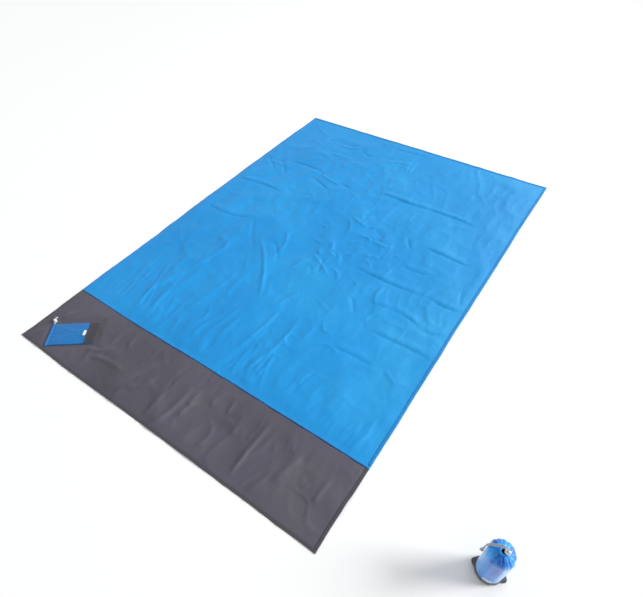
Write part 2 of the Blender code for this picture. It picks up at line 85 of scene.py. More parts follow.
shell_low, shell_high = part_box("bag_shell")
BAG_X = (shell_low[0] + shell_high[0]) / 2
BAG_Y = (shell_low[1] + shell_high[1]) / 2
BAG_RADIUS = (shell_high[0] - shell_low[0]) / 2
NECK_HEIGHT = shell_high[2]
BASE_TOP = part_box("bag_base")[1][2]

POUCH_TURN = math.radians(36)
POUCH_CENTRE = (-0.530, -0.884)
POUCH_LENGTH = 0.190
POUCH_WIDTH = 0.105
POUCH_BASE = 0.041
POUCH_CHANNEL = 0.009
print("blanket", round(RIGHT - LEFT, 3), "x", round(HEAD - FOOT, 3), "bag radius", round(BAG_RADIUS, 4))

# %% [markdown]
# ## The camera
#
# The camera stands a little past the foot end at eye height and looks down over the blanket. A wide
# lens makes the near corner large. It is set by its position, its heading, its pitch and a slight
# roll, because those are what a person with a camera would change.

# %% Place the camera
CAMERA_PLACE = Vector((0.977, -1.273, 1.463))
CAMERA_HEADING = math.radians(36.9)
CAMERA_PITCH = math.radians(47.7)
CAMERA_ROLL = math.radians(3.2)
LENS = 27.35


def place_camera():
    forward = Vector((-math.sin(CAMERA_HEADING) * math.cos(CAMERA_PITCH),
                      math.cos(CAMERA_HEADING) * math.cos(CAMERA_PITCH), -math.sin(CAMERA_PITCH)))
    level = forward.cross(Vector((0, 0, 1))).normalized()
    upright = level.cross(forward)
    right = level * math.cos(CAMERA_ROLL) - upright * math.sin(CAMERA_ROLL)
    up = right.cross(forward)
    camera = bpy.data.objects.new("camera", bpy.data.cameras.new("camera"))
    camera.data.lens = LENS
    camera.data.sensor_width = 36
    camera.data.clip_start = 0.01
    camera.matrix_world = Matrix((right, up, -forward)).transposed().to_4x4()
    camera.matrix_world.translation = CAMERA_PLACE
    bpy.context.scene.collection.objects.link(camera)
    bpy.context.scene.camera = camera
    return forward


view_direction = place_camera()
print("camera looks along", [round(v, 3) for v in view_direction])

# %% [markdown]
# ## Small tools for meshes
#
# Most of what follows is a grid of points whose heights come from a formula, or a tube swept along a
# path. Both are short functions on arrays, because a loop over a hundred thousand points in plain
# Python is slow. Every object keeps its place in its mesh, with the object itself at the origin.

# %% Mesh helpers
COLLECTION = bpy.data.collections.new("blanket_looks")
bpy.context.scene.collection.children.link(COLLECTION)


def new_object(name, vertices, faces, material, smooth=True):
    mesh = bpy.data.meshes.new(name)
    mesh.from_pydata([tuple(v) for v in vertices], [], [tuple(f) for f in faces])
    mesh.update()
    obj = bpy.data.objects.new(name, mesh)
    COLLECTION.objects.link(obj)
    mesh.materials.append(material)
    if smooth:
        mesh.shade_smooth()
    return obj


def grid_faces(columns, rows, wrap=False, first=0):
    """Quads of a grid stored row by row; wrap joins the last column to the first."""
    faces = []
    spans = columns if wrap else columns - 1
    for row in range(rows - 1):
        for column in range(spans):
            after = (column + 1) % columns
            a = first + row * columns + column
            b = first + row * columns + after
            faces.append((a, b, b + columns, a + columns))
    return faces


def ring_faces(sides, count):
    """Quads of rings that close on themselves both ways."""
    last = (count - 1) * sides
    closing = [(last + s, last + (s + 1) % sides, (s + 1) % sides, s) for s in range(sides)]
    return grid_faces(sides, count, wrap=True) + closing


def end_caps(sides, count):
    """One face at each end of a tube that is stored ring by ring."""
    return [tuple(range(sides)), tuple(range((count - 1) * sides, count * sides))]


def as_points(x, y, z):
    """Three arrays, or numbers among them, as one array of points."""
    return np.stack(np.broadcast_arrays(x, y, z), axis=-1)


def round_angles(count):
    return np.arange(count) * math.tau / count


def thicken(obj, thickness, offset=-1.0):
    """A wall made by Solidify, and made permanent."""
    wall = obj.modifiers.new("wall", "SOLIDIFY")
    wall.thickness = thickness
    wall.offset = offset
    bake_modifiers(obj)


def bake_modifiers(obj):
    bpy.context.view_layer.update()
    depsgraph = bpy.context.evaluated_depsgraph_get()
    mesh = bpy.data.meshes.new_from_object(obj.evaluated_get(depsgraph))
    obj.modifiers.clear()
    old = obj.data
    obj.data = mesh
    bpy.data.meshes.remove(old)


def outward(obj, merge=True):
    """Faces turned outwards on a closed shape."""
    bm = bmesh.new()
    bm.from_mesh(obj.data)
    if merge:
        bmesh.ops.remove_doubles(bm, verts=bm.verts, dist=1e-6)
    bmesh.ops.recalc_face_normals(bm, faces=bm.faces)
    bm.to_mesh(obj.data)
    bm.free()
    obj.data.shade_smooth()
    return obj


def closed_bar(name, rows, material):
    """A bar with capped ends; each row runs the bar's length at one place round its section."""
    points = np.stack(rows, axis=1)
    count, sides = points.shape[:2]
    faces = grid_faces(sides, count, wrap=True) + end_caps(sides, count)
    return outward(new_object(name, points.reshape(-1, 3), faces, material))


def closed_rings(name, rings, material):
    """A skin of rings, the last one joined to the first."""
    rings = np.asarray(rings)
    faces = ring_faces(rings.shape[1], len(rings))
    return outward(new_object(name, rings.reshape(-1, 3), faces, material))


def closed_sheet(name, upper, lower, material):
    """A thin closed layer between two grids of points."""
    rows, columns = upper.shape[:2]
    total = columns * rows
    faces = grid_faces(columns, rows)
    faces += [tuple(reversed(face)) for face in grid_faces(columns, rows, first=total)]
    rim = ([(0, c) for c in range(columns - 1)] + [(r, columns - 1) for r in range(rows - 1)]
           + [(rows - 1, c) for c in range(columns - 1, 0, -1)] + [(r, 0) for r in range(rows - 1, 0, -1)])
    ring = [r * columns + c for r, c in rim]
    faces += [(b, a, a + total, b + total) for a, b in zip(ring, ring[1:] + ring[:1])]
    points = np.concatenate([upper.reshape(-1, 3), lower.reshape(-1, 3)])
    return outward(new_object(name, points, faces, material))


def travelled(path):
    """The length along a path at each of its points."""
    return np.concatenate(([0], np.cumsum(np.linalg.norm(np.diff(np.asarray(path), axis=0), axis=1))))


def path_length(path):
    return float(travelled(path)[-1])


def smooth_path(points, spacing):
    """Points at an even spacing on a Catmull-Rom curve through the given points."""
    route = [Vector(p) for p in points]
    ends = [2 * route[0] - route[1]] + route + [2 * route[-1] - route[-2]]
    dense = []
    for p0, p1, p2, p3 in zip(ends, ends[1:], ends[2:], ends[3:]):
        for step in range(16):
            t = step / 16
            dense.append(0.5 * (2 * p1 + (p2 - p0) * t + (2 * p0 - 5 * p1 + 4 * p2 - p3) * t * t
                                + (3 * p1 - p0 - 3 * p2 + p3) * t ** 3))
    dense.append(route[-1])
    dense = np.array([tuple(p) for p in dense])
    lengths = travelled(dense)
    count = max(2, round(lengths[-1] / spacing))
    even = np.linspace(0, lengths[-1], count + 1)
    return np.column_stack([np.interp(even, lengths, dense[:, k]) for k in range(3)])


def path_frames(path, start=(0, 1, 0)):
    """A tangent and two side vectors at each point, carried along without twisting."""
    tangents = np.gradient(path, axis=0)
    tangents /= np.linalg.norm(tangents, axis=1)[:, None]
    side = np.array(start, float)
    sides = []
    for tangent in tangents:
        side = side - tangent * side.dot(tangent)
        side /= np.linalg.norm(side)
        sides.append(side)
    sides = np.array(sides)
    return tangents, sides, np.cross(tangents, sides)


# %% [markdown]
# ## Smooth random waves
#
# Creased cloth isn't random all over: it has long soft swells, sharp ridges where it was crushed, and
# straight lines where it was folded. The soft part starts from a table of random numbers, blended
# smoothly between its points. The seed is fixed, so the cloth comes out the same every time.

# %% Value noise on arrays
def make_noise(seed, cells=256):
    table = np.random.default_rng(seed).uniform(-1, 1, (cells, cells))

    def noise(x, y):
        x0, y0 = np.floor(x).astype(int), np.floor(y).astype(int)
        fx, fy = x - x0, y - y0
        fx, fy = fx * fx * fx * (fx * (fx * 6 - 15) + 10), fy * fy * fy * (fy * (fy * 6 - 15) + 10)
        x0, y0, x1, y1 = x0 % cells, y0 % cells, (x0 + 1) % cells, (y0 + 1) % cells
        near = table[y0, x0] * (1 - fx) + table[y0, x1] * fx
        far = table[y1, x0] * (1 - fx) + table[y1, x1] * fx
        return near * (1 - fy) + far * fy

    return noise


def ridge(value):
    """Turns smooth waves into a net of crests: 1 along the zero lines, falling to 0."""
    return np.clip(1 - np.abs(value) * 2, 0, 1)


def bump(value, middle, spread):
    """A soft hump round one value, 1 at its middle."""
    return np.exp(-((value - middle) / spread) ** 2)


def fade(value, low, high):
    """Rises smoothly from 0 at low to 1 at high."""
    t = np.clip((value - low) / (high - low), 0, 1)
    return t * t * (3 - 2 * t)

# %% [markdown]
# ## Floor and light
#
# The floor is a plain pale sheet that lies just under the blanket. The light is a broad, low sun
# through a soft sky: a low light rakes across the cloth, and that is what makes thin creases read. A
# large panel past the head end adds the pale gloss that coated nylon takes near a window.

# %% Build the stage
scene = bpy.context.scene
scene.view_settings.view_transform = "Standard"


def new_material(name):
    material = bpy.data.materials.new(name)
    material.use_nodes = True
    return material, material.node_tree, material.node_tree.nodes["Principled BSDF"]


def plain_material(name, colour, roughness):
    material, _, shader = new_material(name)
    shader.inputs["Base Color"].default_value = (*colour, 1)
    shader.inputs["Roughness"].default_value = roughness
    return material


def add_floor():
    reach, level = 14, -0.0003
    corners = [(x * reach, y * reach, level) for x, y in ((-1, -1), (1, -1), (1, 1), (-1, 1))]
    pale = plain_material("pale_floor", (0.96, 0.96, 0.96), 0.9)
    new_object("floor", corners, [(0, 1, 2, 3)], pale, smooth=False)


def add_light(name, kind, energy, place, look_at, colour=(1, 1, 1), **settings):
    data = bpy.data.lights.new(name, kind)
    data.energy = energy
    data.color = colour
    for key, value in settings.items():
        setattr(data, key, value)
    lamp = bpy.data.objects.new(name, data)
    lamp.location = place
    lamp.rotation_euler = (Vector(look_at) - Vector(place)).to_track_quat("-Z", "Y").to_euler()
    scene.collection.objects.link(lamp)


def soft_sky():
    """Brightest at the horizon, dimmer overhead, so upright things get pale edges."""
    world = bpy.data.worlds.new("soft_sky")
    world.use_nodes = True
    tree = world.node_tree
    height = tree.nodes.new("ShaderNodeSeparateXYZ")
    place = tree.nodes.new("ShaderNodeTexCoord")
    tone = tree.nodes.new("ShaderNodeValToRGB")
    tree.links.new(place.outputs["Generated"], height.inputs[0])
    tree.links.new(height.outputs["Z"], tone.inputs["Fac"])
    tree.links.new(tone.outputs["Color"], tree.nodes["Background"].inputs["Color"])
    tone.color_ramp.elements[0].position, tone.color_ramp.elements[0].color = 0.03, (1.0, 1.0, 1.0, 1)
    tone.color_ramp.elements[1].position, tone.color_ramp.elements[1].color = 0.55, (0.46, 0.475, 0.49, 1)
    return world


scene.world = soft_sky()
add_floor()
add_light("low_sun", "SUN", 3.3, (2.6, 1.9, 1.62), (0, 0, 0), (1.0, 0.99, 0.97), angle=math.radians(24))
add_light("window_panel", "AREA", 24, (1.2, 2.6, 1.9), (0.3, -0.1, 0), size=2.4)
print("lights placed")

# %% [markdown]
# ## The cloth's finish
#
# The fabric is a thin coated nylon: a very fine plain weave, a soft sheen, and a colour that drifts a
# little from place to place. One builder makes all the cloths, from three tones and a direction in
# which the tone leans; the lean is painted light, a straight gradient of light and shade. On the bag
# the drift is stretched into upright streaks, painted satin highlights and shade. The weave is two
# crossed waves in the bump, fine crinkles are noise under it, and everything reads object coordinates,
# so nothing slides when a piece moves.

# %% Node helpers and the cloth finish
def node(tree, kind, inputs=None, **settings):
    made = tree.nodes.new(kind)
    for key, value in settings.items():
        setattr(made, key, value)
    for key, value in (inputs or {}).items():
        if isinstance(value, bpy.types.NodeSocket):
            tree.links.new(value, made.inputs[key])
        else:
            made.inputs[key].default_value = value
    return made


def linear(text):
    """A colour written as six hex digits, as the linear numbers that shaders take."""
    values = [int(text[k:k + 2], 16) / 255 for k in (0, 2, 4)]
    return tuple(v / 12.92 if v <= 0.04045 else ((v + 0.055) / 1.055) ** 2.4 for v in values) + (1.0,)


def ramp(tree, factor, *stops):
    """Each stop is a position and a colour in hex digits."""
    stops = [(position, linear(text)) for position, text in stops]
    made = node(tree, "ShaderNodeValToRGB", {"Fac": factor})
    elements = made.color_ramp.elements
    elements[0].position, elements[0].color = stops[0]
    elements[1].position, elements[1].color = stops[-1]
    for position, colour in stops[1:-1]:
        elements.new(position).color = colour
    return made.outputs["Color"]


def math_node(tree, operation, first, second=0.0):
    return node(tree, "ShaderNodeMath", {0: first, 1: second}, operation=operation).outputs[0]


def spread_over(tree, value, middle, reach):
    """Maps a texture's 0 to 1 to a range on both sides of the middle."""
    return node(tree, "ShaderNodeMapRange", {"Value": value, "To Min": middle - reach,
                                             "To Max": middle + reach}).outputs["Result"]


def weave_height(tree, place, pitch):
    """Two crossed waves: threads over and under, at the given pitch."""
    bands = []
    shape = {"Vector": place, "Scale": 0.05 / pitch, "Distortion": 0.6, "Detail": 1.0}
    for direction in ("X", "Y"):
        wave = node(tree, "ShaderNodeTexWave", shape, wave_type="BANDS", bands_direction=direction)
        bands.append(wave.outputs["Fac"])
    return math_node(tree, "MAXIMUM", *bands)


def cloth_finish(name, dark, middle, light, painted_light_direction=(0, 0, 0), offset=0.5, roughness=0.5, sheen=0.12,
                 crinkle=0.00035, pitch=0.0006, spread=0.25, stretch=(1, 1, 1), tint=(1, 1, 1, 1)):
    material, tree, shader = new_material(name)
    place = node(tree, "ShaderNodeTexCoord").outputs["Object"]

    streaks = node(tree, "ShaderNodeVectorMath", {0: place, 1: stretch}, operation="MULTIPLY")
    cloud = node(tree, "ShaderNodeTexNoise", {"Vector": streaks.outputs["Vector"], "Scale": 2.3,
                                              "Detail": 4.0, "Roughness": 0.55})
    # Painted light: the tone rises along the given direction, a straight gradient of light and shade across
    # the piece.
    painted_light_gradient = node(tree, "ShaderNodeVectorMath", {0: place, 1: painted_light_direction}, operation="DOT_PRODUCT")
    # Random tone drift; on the bag, whose noise is stretched into upright streaks, it paints satin
    # highlights and shade.
    tone_drift_and_satin_sheen = math_node(tree, "MULTIPLY", math_node(tree, "SUBTRACT", cloud.outputs["Fac"], 0.5), spread * 2)
    tone = math_node(tree, "ADD", math_node(tree, "ADD", painted_light_gradient.outputs["Value"], offset), tone_drift_and_satin_sheen)
    colour = ramp(tree, tone, (0.0, dark), (0.5, middle), (1.0, light))

    fleck = node(tree, "ShaderNodeTexNoise", {"Vector": place, "Scale": 420.0, "Detail": 2.0})
    speck = spread_over(tree, fleck.outputs["Fac"], 1.0, 0.06)
    mixed = node(tree, "ShaderNodeVectorMath", {0: colour, "Scale": speck}, operation="SCALE")
    tree.links.new(mixed.outputs["Vector"], shader.inputs["Base Color"])

    rough = spread_over(tree, cloud.outputs["Fac"], roughness, 0.07)
    tree.links.new(rough, shader.inputs["Roughness"])
    shader.inputs["Sheen Weight"].default_value = sheen
    shader.inputs["Sheen Roughness"].default_value = 0.4
    shader.inputs["Sheen Tint"].default_value = tint
    shader.inputs["Specular IOR Level"].default_value = 0.42

    folds = node(tree, "ShaderNodeTexNoise", {"Vector": place, "Scale": 38.0, "Detail": 3.0,
                                              "Distortion": 0.8})
    sharp = math_node(tree, "ABSOLUTE", math_node(tree, "SUBTRACT", folds.outputs["Fac"], 0.5))
    soft = node(tree, "ShaderNodeBump", {"Height": sharp, "Strength": 0.8, "Distance": crinkle * 4},
                invert=True)
    threads = node(tree, "ShaderNodeBump", {"Height": weave_height(tree, place, pitch), "Strength": 0.45,
                                            "Distance": 0.00006, "Normal": soft.outputs["Normal"]})
    tree.links.new(threads.outputs["Normal"], shader.inputs["Normal"])
    return material


BLUE_SHEEN = (0.2, 0.6, 1.0, 1.0)
# The lean on the blue and grey blanket cloths is painted light: lighter towards +x, darker towards -x.
BLUE_CLOTH = cloth_finish("sky_blue_nylon", "0A80CA", "1493DA", "2EA8E2",
                          painted_light_direction=(0.12, 0.02, 0), offset=0.50, roughness=0.46, spread=0.45, tint=BLUE_SHEEN)
GREY_CLOTH = cloth_finish("charcoal_nylon", "434045", "565360", "6A6664",
                          painted_light_direction=(0.10, 0.1, 0), offset=0.55, roughness=0.50, sheen=0.08, spread=0.45)
BLUE_HEM = cloth_finish("blue_hem_nylon", "1079C0", "1886CA", "2A93D2",
                        offset=0.42, roughness=0.5, crinkle=0.0002, tint=BLUE_SHEEN)
GREY_HEM = cloth_finish("charcoal_hem_nylon", "403D43", "4B4850", "57545C",
                        offset=0.42, roughness=0.55, sheen=0.08, crinkle=0.0002)
POUCH_BLUE = cloth_finish("pouch_blue_nylon", "0E5FA6", "1470B6", "2A84C6",
                          offset=0.5, roughness=0.42, spread=0.5)
POUCH_GREY = cloth_finish("pouch_charcoal_nylon", "36333A", "403D44", "4C4950",
                          offset=0.5, roughness=0.52, sheen=0.08)
print("cloth finishes", [m.name for m in (BLUE_CLOTH, GREY_CLOTH, BLUE_HEM, GREY_HEM, POUCH_BLUE)])

# %% [markdown]
# ## Cord, label, plastic and spring
#
# The drawcord is a round braid, so its pattern follows the cord: each tube carries its own map, with
# metres along one axis and turns round the other, and two families of slanted waves cross on it. Its
# colour follows those waves, darker in the grooves: painted shade. The label is a smooth satin tape.
# The cord locks are moulded plastic with a faint grain.

# %% Finishes for the small pieces
def braid_finish(name, dark, light):
    material, tree, shader = new_material(name)
    place = node(tree, "ShaderNodeUVMap", uv_map="along").outputs["UV"]
    parts = node(tree, "ShaderNodeSeparateXYZ", {"Vector": place})
    along = math_node(tree, "MULTIPLY", parts.outputs["X"], math.tau / 0.0022)
    around = math_node(tree, "MULTIPLY", parts.outputs["Y"], math.tau * 4)
    one = math_node(tree, "SINE", math_node(tree, "ADD", along, around))
    other = math_node(tree, "SINE", math_node(tree, "SUBTRACT", along, around))
    height = math_node(tree, "MAXIMUM", one, other)
    # Colour follows the braid's height: painted shade, darker in the grooves and lighter on the crests.
    colour = ramp(tree, math_node(tree, "MULTIPLY_ADD", height, 0.5), (0.0, dark), (1.0, light))
    tree.links.new(colour, shader.inputs["Base Color"])
    bump_node = node(tree, "ShaderNodeBump", {"Height": height, "Strength": 0.8, "Distance": 0.00018})
    tree.links.new(bump_node.outputs["Normal"], shader.inputs["Normal"])
    shader.inputs["Roughness"].default_value = 0.72
    shader.inputs["Sheen Weight"].default_value = 0.2
    return material


def grained_finish(name, colour, other, roughness, scale, distance, metallic=0.0):
    material, tree, shader = new_material(name)
    place = node(tree, "ShaderNodeTexCoord").outputs["Object"]
    grain = node(tree, "ShaderNodeTexNoise", {"Vector": place, "Scale": scale, "Detail": 3.0})
    tone = ramp(tree, grain.outputs["Fac"], (0.3, colour), (0.7, other))
    tree.links.new(tone, shader.inputs["Base Color"])
    bump_node = node(tree, "ShaderNodeBump", {"Height": grain.outputs["Fac"], "Strength": 0.5,
                                              "Distance": distance})
    tree.links.new(bump_node.outputs["Normal"], shader.inputs["Normal"])
    shader.inputs["Roughness"].default_value = roughness
    shader.inputs["Metallic"].default_value = metallic
    return material


CORD_BRAID = braid_finish("pale_cord_braid", "8A9092", "C2C8CC")
LABEL_TAPE = grained_finish("white_satin_tape", "E6EAEE", "F0F2F4", 0.42, 260.0, 0.00002)
LOCK_PLASTIC = grained_finish("off_white_plastic", "D9DDDC", "E6E9E8", 0.34, 700.0, 0.00003)
SPRING_STEEL = grained_finish("spring_steel", "8A8C8E", "A9ABAD", 0.28, 300.0, 0.00002, 1.0)
BLUE_THREAD = grained_finish("blue_thread", "2F7CC4", "4A9ADF", 0.6, 1500.0, 0.00005)
GREY_THREAD = grained_finish("charcoal_thread", "5A575F", "6C6972", 0.6, 1500.0, 0.00005)
print("small finishes ready")

# %% [markdown]
# ## The lie of the cloth
#
# Everything on the blanket follows one height field: the cloth, its hems, its stitches and the seam.
# It has five layers. Long soft swells come from smooth noise, and the zero lines of the same noise
# make a faint net of crests, as crushed cloth has. The straight creases are where the blanket was
# folded for its bag, so they run across it at even steps. The short puckers start at the cross seam,
# which was sewn a little tight. Small crumples gather where the cloth was squeezed. The field is held
# down under the pouch and beside the seam, so that the band can still fold over.

# %% Creases in millimetres, one row each: start x and y, end x and y, bow, width, height
BLUE_CREASES = (
    (-491, -622, -361, -127, -25, 12, 3.4),
    (-515, -607, -548, -421, 2, 10, 2.4),
    (-358, -680, -357, -609, -1, 8, 2.2),
    (-298, -628, -329, -518, 1, 9, 2.4),
    (-178, -683, -185, -555, 0, 10, 2.8),
    (-248, -553, -216, -417, -3, 10, 2.2),
    (-127, -650, -94, -496, 20, 10, 2.8),
    (-33, -626, -27, -439, 12, 10, 2.8),
    (45, -625, 72, -306, -12, 11, 3.2),
    (140, -634, 163, -331, -23, 10, 3),
    (-256, -62, -27, -369, 19, 10, 3.4),
    (-60, -226, 4, -5, 2, 10, 2.4),
    (-194, 51, -147, -117, 20, 9, 2.8),
    (-216, -277, -261, -490, 18, 10, 2.6),
    (-160, -411, -166, -277, 8, 9, 2.6),
    (-386, 48, -237, -139, -14, 9, -2.4),
    (-567, -163, -446, -356, 159, 20, 1.2),
    (-212, -34, -108, -143, 11, 8, -2.4),
    (30, 154, 137, 79, 0, 8, -3.6),
    (100, 56, 170, 0, 0, 8, -3.6),
    (144, 280, 206, 254, -7, 7, -3),
    (13, 305, 101, 273, -5, 8, 2.6),
    (-5, -10, 131, -88, 2, 8, 2.6),
    (49, -10, 80, -105, 3, 7, -2.8),
    (148, 155, 245, 147, -9, 8, -2.4),
    (299, 303, 353, 232, -2, 8, -3.2),
    (175, 208, 276, 210, -11, 9, 2.4),
    (20, -78, 60, -134, 10, 7, -2.4),
    (109, -38, 174, -93, 16, 8, 2.4),
    (-5, 284, 47, 164, 21, 8, 2.6),
    (-531, 525, -293, 521, 17, 8, -3.6),
    (-357, 469, -206, 412, 3, 8, -3.4),
    (-324, 525, -149, 491, -18, 8, 2.6),
    (-586, 517, -484, 404, 7, 8, -2.8),
    (-199, 484, -110, 471, 11, 9, -3),
    (-393, 712, -241, 725, -3, 9, 2.2),
    (-269, 840, -129, 844, -49, 8, -2.6),
    (-127, 744, 40, 832, 27, 10, 2.2),
    (-131, 923, 77, 942, 0, 9, -2.2),
    (-402, 816, -269, 840, -17, 9, 2),
    (-664, 497, -561, 406, 12, 7, -2.2),
    (272, -135, 328, -211, 5, 8, -3),
    (380, -123, 373, -4, 25, 9, 2.4),
    (638, 128, 663, 45, -4, 8, -2.4),
    (232, -418, 237, -337, -7, 9, 2.4),
    (201, -475, 190, -419, 22, 8, 2.2),
    (253, -300, 328, -304, -42, 10, 2.2),
    (387, -254, 411, -159, 6, 10, -1.8),
    (345, -600, 360, -513, 16, 10, 2.2),
    (561, -371, 630, -414, 1, 8, 1.8),
    (-61, -681, -55, -565, 20, 8, 2.2),
    (-11, -697, 10, -599, 13, 8, 1.8),
    (112, -652, 117, -504, 0, 9, 2.6),
    (-433, -540, -426, -377, 6, 10, 2.2),
    (49, -363, 105, -197, 15, 12, 2.2),
    (285, -421, 390, -413, 24, 10, 2),
    (191, -646, 197, -550, 0, 8, 2),
    (-223, -686, -246, -580, -7, 8, 2.2),
    (-354, -636, -369, -499, 17, 9, 2.2),
)
PACKING_CREASES = (
    (-667, 257, -382, 271, 16, 7, 2.1),
    (-655, 5, -386, 48, -29, 7, 1.9),
    (116, 523, 546, 531, 8, 7, 3),
    (404, 281, 607, 268, 0, 7, 2.6),
    (363, 130, 501, 146, -9, 7, 1.8),
    (187, 19, 542, 23, -12, 7, 2.8),
    (542, 23, 686, 18, -13, 7, 2.2),
    (366, -125, 596, -145, 24, 7, 2.4),
    (596, -145, 673, -114, -10, 7, 2),
    (434, -249, 679, -249, 3, 7, 2.6),
    (340, -398, 517, -383, 7, 7, 1.8),
    (14, 525, 214, 521, 8, 7, 2.4),
)
BAND_CREASES = (
    (-24, -979, -15, -731, 9, 10, 4.6),
    (353, -971, 352, -726, 3, 9, 4.4),
    (272, -870, 253, -776, -2, 8, 3),
    (619, -897, 622, -796, 2, 8, 3.2),
    (436, -748, 470, -807, 4, 8, 2.2),
    (208, -821, 192, -734, 1, 9, 3.4),
    (-229, -983, -133, -785, 2, 15, 4.6),
    (17, -986, 32, -802, -13, 13, 4),
    (-294, -817, -276, -710, 22, 10, 3.6),
    (-645, -873, -478, -752, 30, 12, 3),
    (-360, -847, -338, -723, 17, 10, 3.6),
    (-391, -916, -214, -895, 11, 14, 3.6),
    (-164, -757, -82, -722, 27, 8, 2.6),
    (-253, -765, -238, -698, 4, 7, 2.6),
    (-192, -775, -170, -705, 7, 7, 2.4),
    (72, -764, 60, -694, -1, 8, 2.6),
    (142, -783, 139, -715, 3, 9, 2.8),
    (140, -825, 137, -754, 3, 10, 3),
    (76, -868, 71, -797, 3, 10, 2.6),
    (75, -919, 90, -828, 9, 12, 2.8),
    (-465, -838, -391, -790, 11, 10, 2.6),
    (-169, -933, -103, -835, -19, 12, 3),
    (269, -731, 315, -751, 18, 9, 2.4),
    (-433, -894, -330, -840, -15, 12, 2.6),
    (-28, -905, -49, -810, -9, 10, -2.6),
    (476, -906, 508, -800, 4, 14, 1.8),
    (424, -981, 451, -863, -10, 14, 2),
    (528, -804, 538, -708, -3, 12, 2),
    (199, -960, 187, -864, -16, 12, 2.4),
)

# %% Creases as strokes: place, angle, length, width, height, bow and whether the crest is sharp
def stroke(x, y, angle, length, width, height, bow=0.0, sharp=True):
    return (x, y, math.radians(angle), length, width, height, bow, sharp)


def between(x0, y0, x1, y1, bow, width, height, sharp=True):
    return stroke(x0, y0, math.degrees(math.atan2(y1 - y0, x1 - x0)), math.hypot(x1 - x0, y1 - y0), width,
                  height, bow, sharp)


def in_metres(rows):
    """The tables are in millimetres."""
    return [[value / 1000 for value in row] for row in rows]


BAND_DEPTH_SCALE = 1.35     # the band's cloth is stiffer, so its creases stand higher


def fold_creases():
    """The rows above, with a soft rise beside each packing fold where the cloth springs back."""
    strokes = [between(*row) for row in in_metres(BLUE_CREASES)]
    strokes += [between(*row[:-1], row[-1] * BAND_DEPTH_SCALE) for row in in_metres(BAND_CREASES)]
    for x0, y0, x1, y1, bow, width, height in in_metres(PACKING_CREASES):
        strokes.append(between(x0, y0, x1, y1, bow, width, -height))
        strokes.append(between(x0, y0 + 0.017, x1, y1 + 0.017, bow, 0.017, height * 0.7, sharp=False))
    return strokes


def seam_puckers(rng):
    strokes = []
    for _ in range(46):
        x = rng.uniform(-0.68, 0.68)
        left = np.clip(0.5 - x, 0.12, 1.0)
        length = rng.uniform(0.04, 0.16) + 0.34 * left * rng.uniform(0, 1) ** 1.6
        strokes.append(stroke(x, SEAM_FAR + 0.004, 90 + rng.normal(0, 9) - 10 * x, length,
                              rng.uniform(0.005, 0.011), rng.uniform(0.0012, 0.0030) * (0.55 + 0.45 * left),
                              bow=rng.uniform(-0.012, 0.012)))
    for _ in range(34):
        x = rng.uniform(-0.68, 0.68)
        strokes.append(stroke(x, SEAM_NEAR - 0.004, -90 + rng.normal(0, 12), rng.uniform(0.025, 0.10),
                              rng.uniform(0.004, 0.009), rng.uniform(0.0008, 0.0022),
                              bow=rng.uniform(-0.006, 0.006)))
    return strokes


def crumples(rng):
    strokes = []
    for _ in range(30):
        x, y = rng.normal(0.16, 0.11), rng.normal(0.18, 0.12)
        strokes.append(stroke(x, y, rng.uniform(0, 180), rng.uniform(0.02, 0.07), rng.uniform(0.004, 0.009),
                              rng.uniform(0.0012, 0.0030), bow=rng.uniform(-0.01, 0.01)))
    for _ in range(14):
        x, y = rng.normal(0.0, 0.07), rng.normal(0.70, 0.06)
        strokes.append(stroke(x, y, rng.uniform(40, 140), rng.uniform(0.02, 0.06),
                              rng.uniform(0.004, 0.008), rng.uniform(0.0010, 0.0022)))
    for _ in range(110):
        x, y = rng.uniform(-0.68, 0.55), rng.uniform(-0.66, 0.93)
        strokes.append(stroke(x, y, rng.normal(90, 26), rng.uniform(0.03, 0.15), rng.uniform(0.004, 0.010),
                              rng.uniform(0.0006, 0.0018) * (0.6 + 0.5 * (x < 0.1)),
                              bow=rng.uniform(-0.012, 0.012)))
    for _ in range(44):
        x, y = rng.uniform(-0.66, 0.66), rng.uniform(-0.97, -0.75)
        strokes.append(stroke(x, y, rng.uniform(60, 120), rng.uniform(0.02, 0.08),
                              rng.uniform(0.004, 0.009), rng.uniform(0.0005, 0.0014)))
    return strokes


wrinkle_random = np.random.default_rng(41)
STROKES = fold_creases() + seam_puckers(wrinkle_random) + crumples(wrinkle_random)
print("creases", len(STROKES))

# %% Height and drift of the cloth
swell_noise = make_noise(7)
drift_noise = make_noise(19)
fine_noise = make_noise(31)
CLOTH_WALL = 0.0004
CREASE_SCALE = 1.4
SWELLS = ((0.0024, 2.6, 9, 2.2, 4), (0.0012, 6.3, 3, 5.2, 11), (0.001875, 13, 5, 8, 8),
          (0.0010, 27, 40, 15, 21))     # height, then scale and shift along x and along y
FINE_WAVES = 0.00035
WIDE_NET, CLOSE_NET = 0.0020, 0.0011    # heights of the two nets of crests
REST_HEIGHT, LEAST_HEIGHT = 0.0018, 0.0012


def stroke_heights(x, y):
    height = np.zeros_like(x)
    for x0, y0, angle, length, width, top, bow, sharp in STROKES:
        reach = length / 2 + 4 * width + abs(bow)
        middle_x, middle_y = x0 + math.cos(angle) * length / 2, y0 + math.sin(angle) * length / 2
        near = np.flatnonzero((np.abs(x - middle_x) < reach) & (np.abs(y - middle_y) < reach))
        if len(near) == 0:
            continue
        dx, dy = x[near] - x0, y[near] - y0
        along = (dx * math.cos(angle) + dy * math.sin(angle)) / length
        across = -dx * math.sin(angle) + dy * math.cos(angle) - 4 * bow * along * (1 - along)
        taper = fade(along, -0.06, 0.22) * fade(1 - along, -0.06, 0.30)
        spread = np.abs(across) / width
        shape = 1 / (1 + (1.7 * spread) ** 2) if sharp else np.exp(-spread ** 2)
        height[near] += top * shape * taper * (spread < 4)
    return height


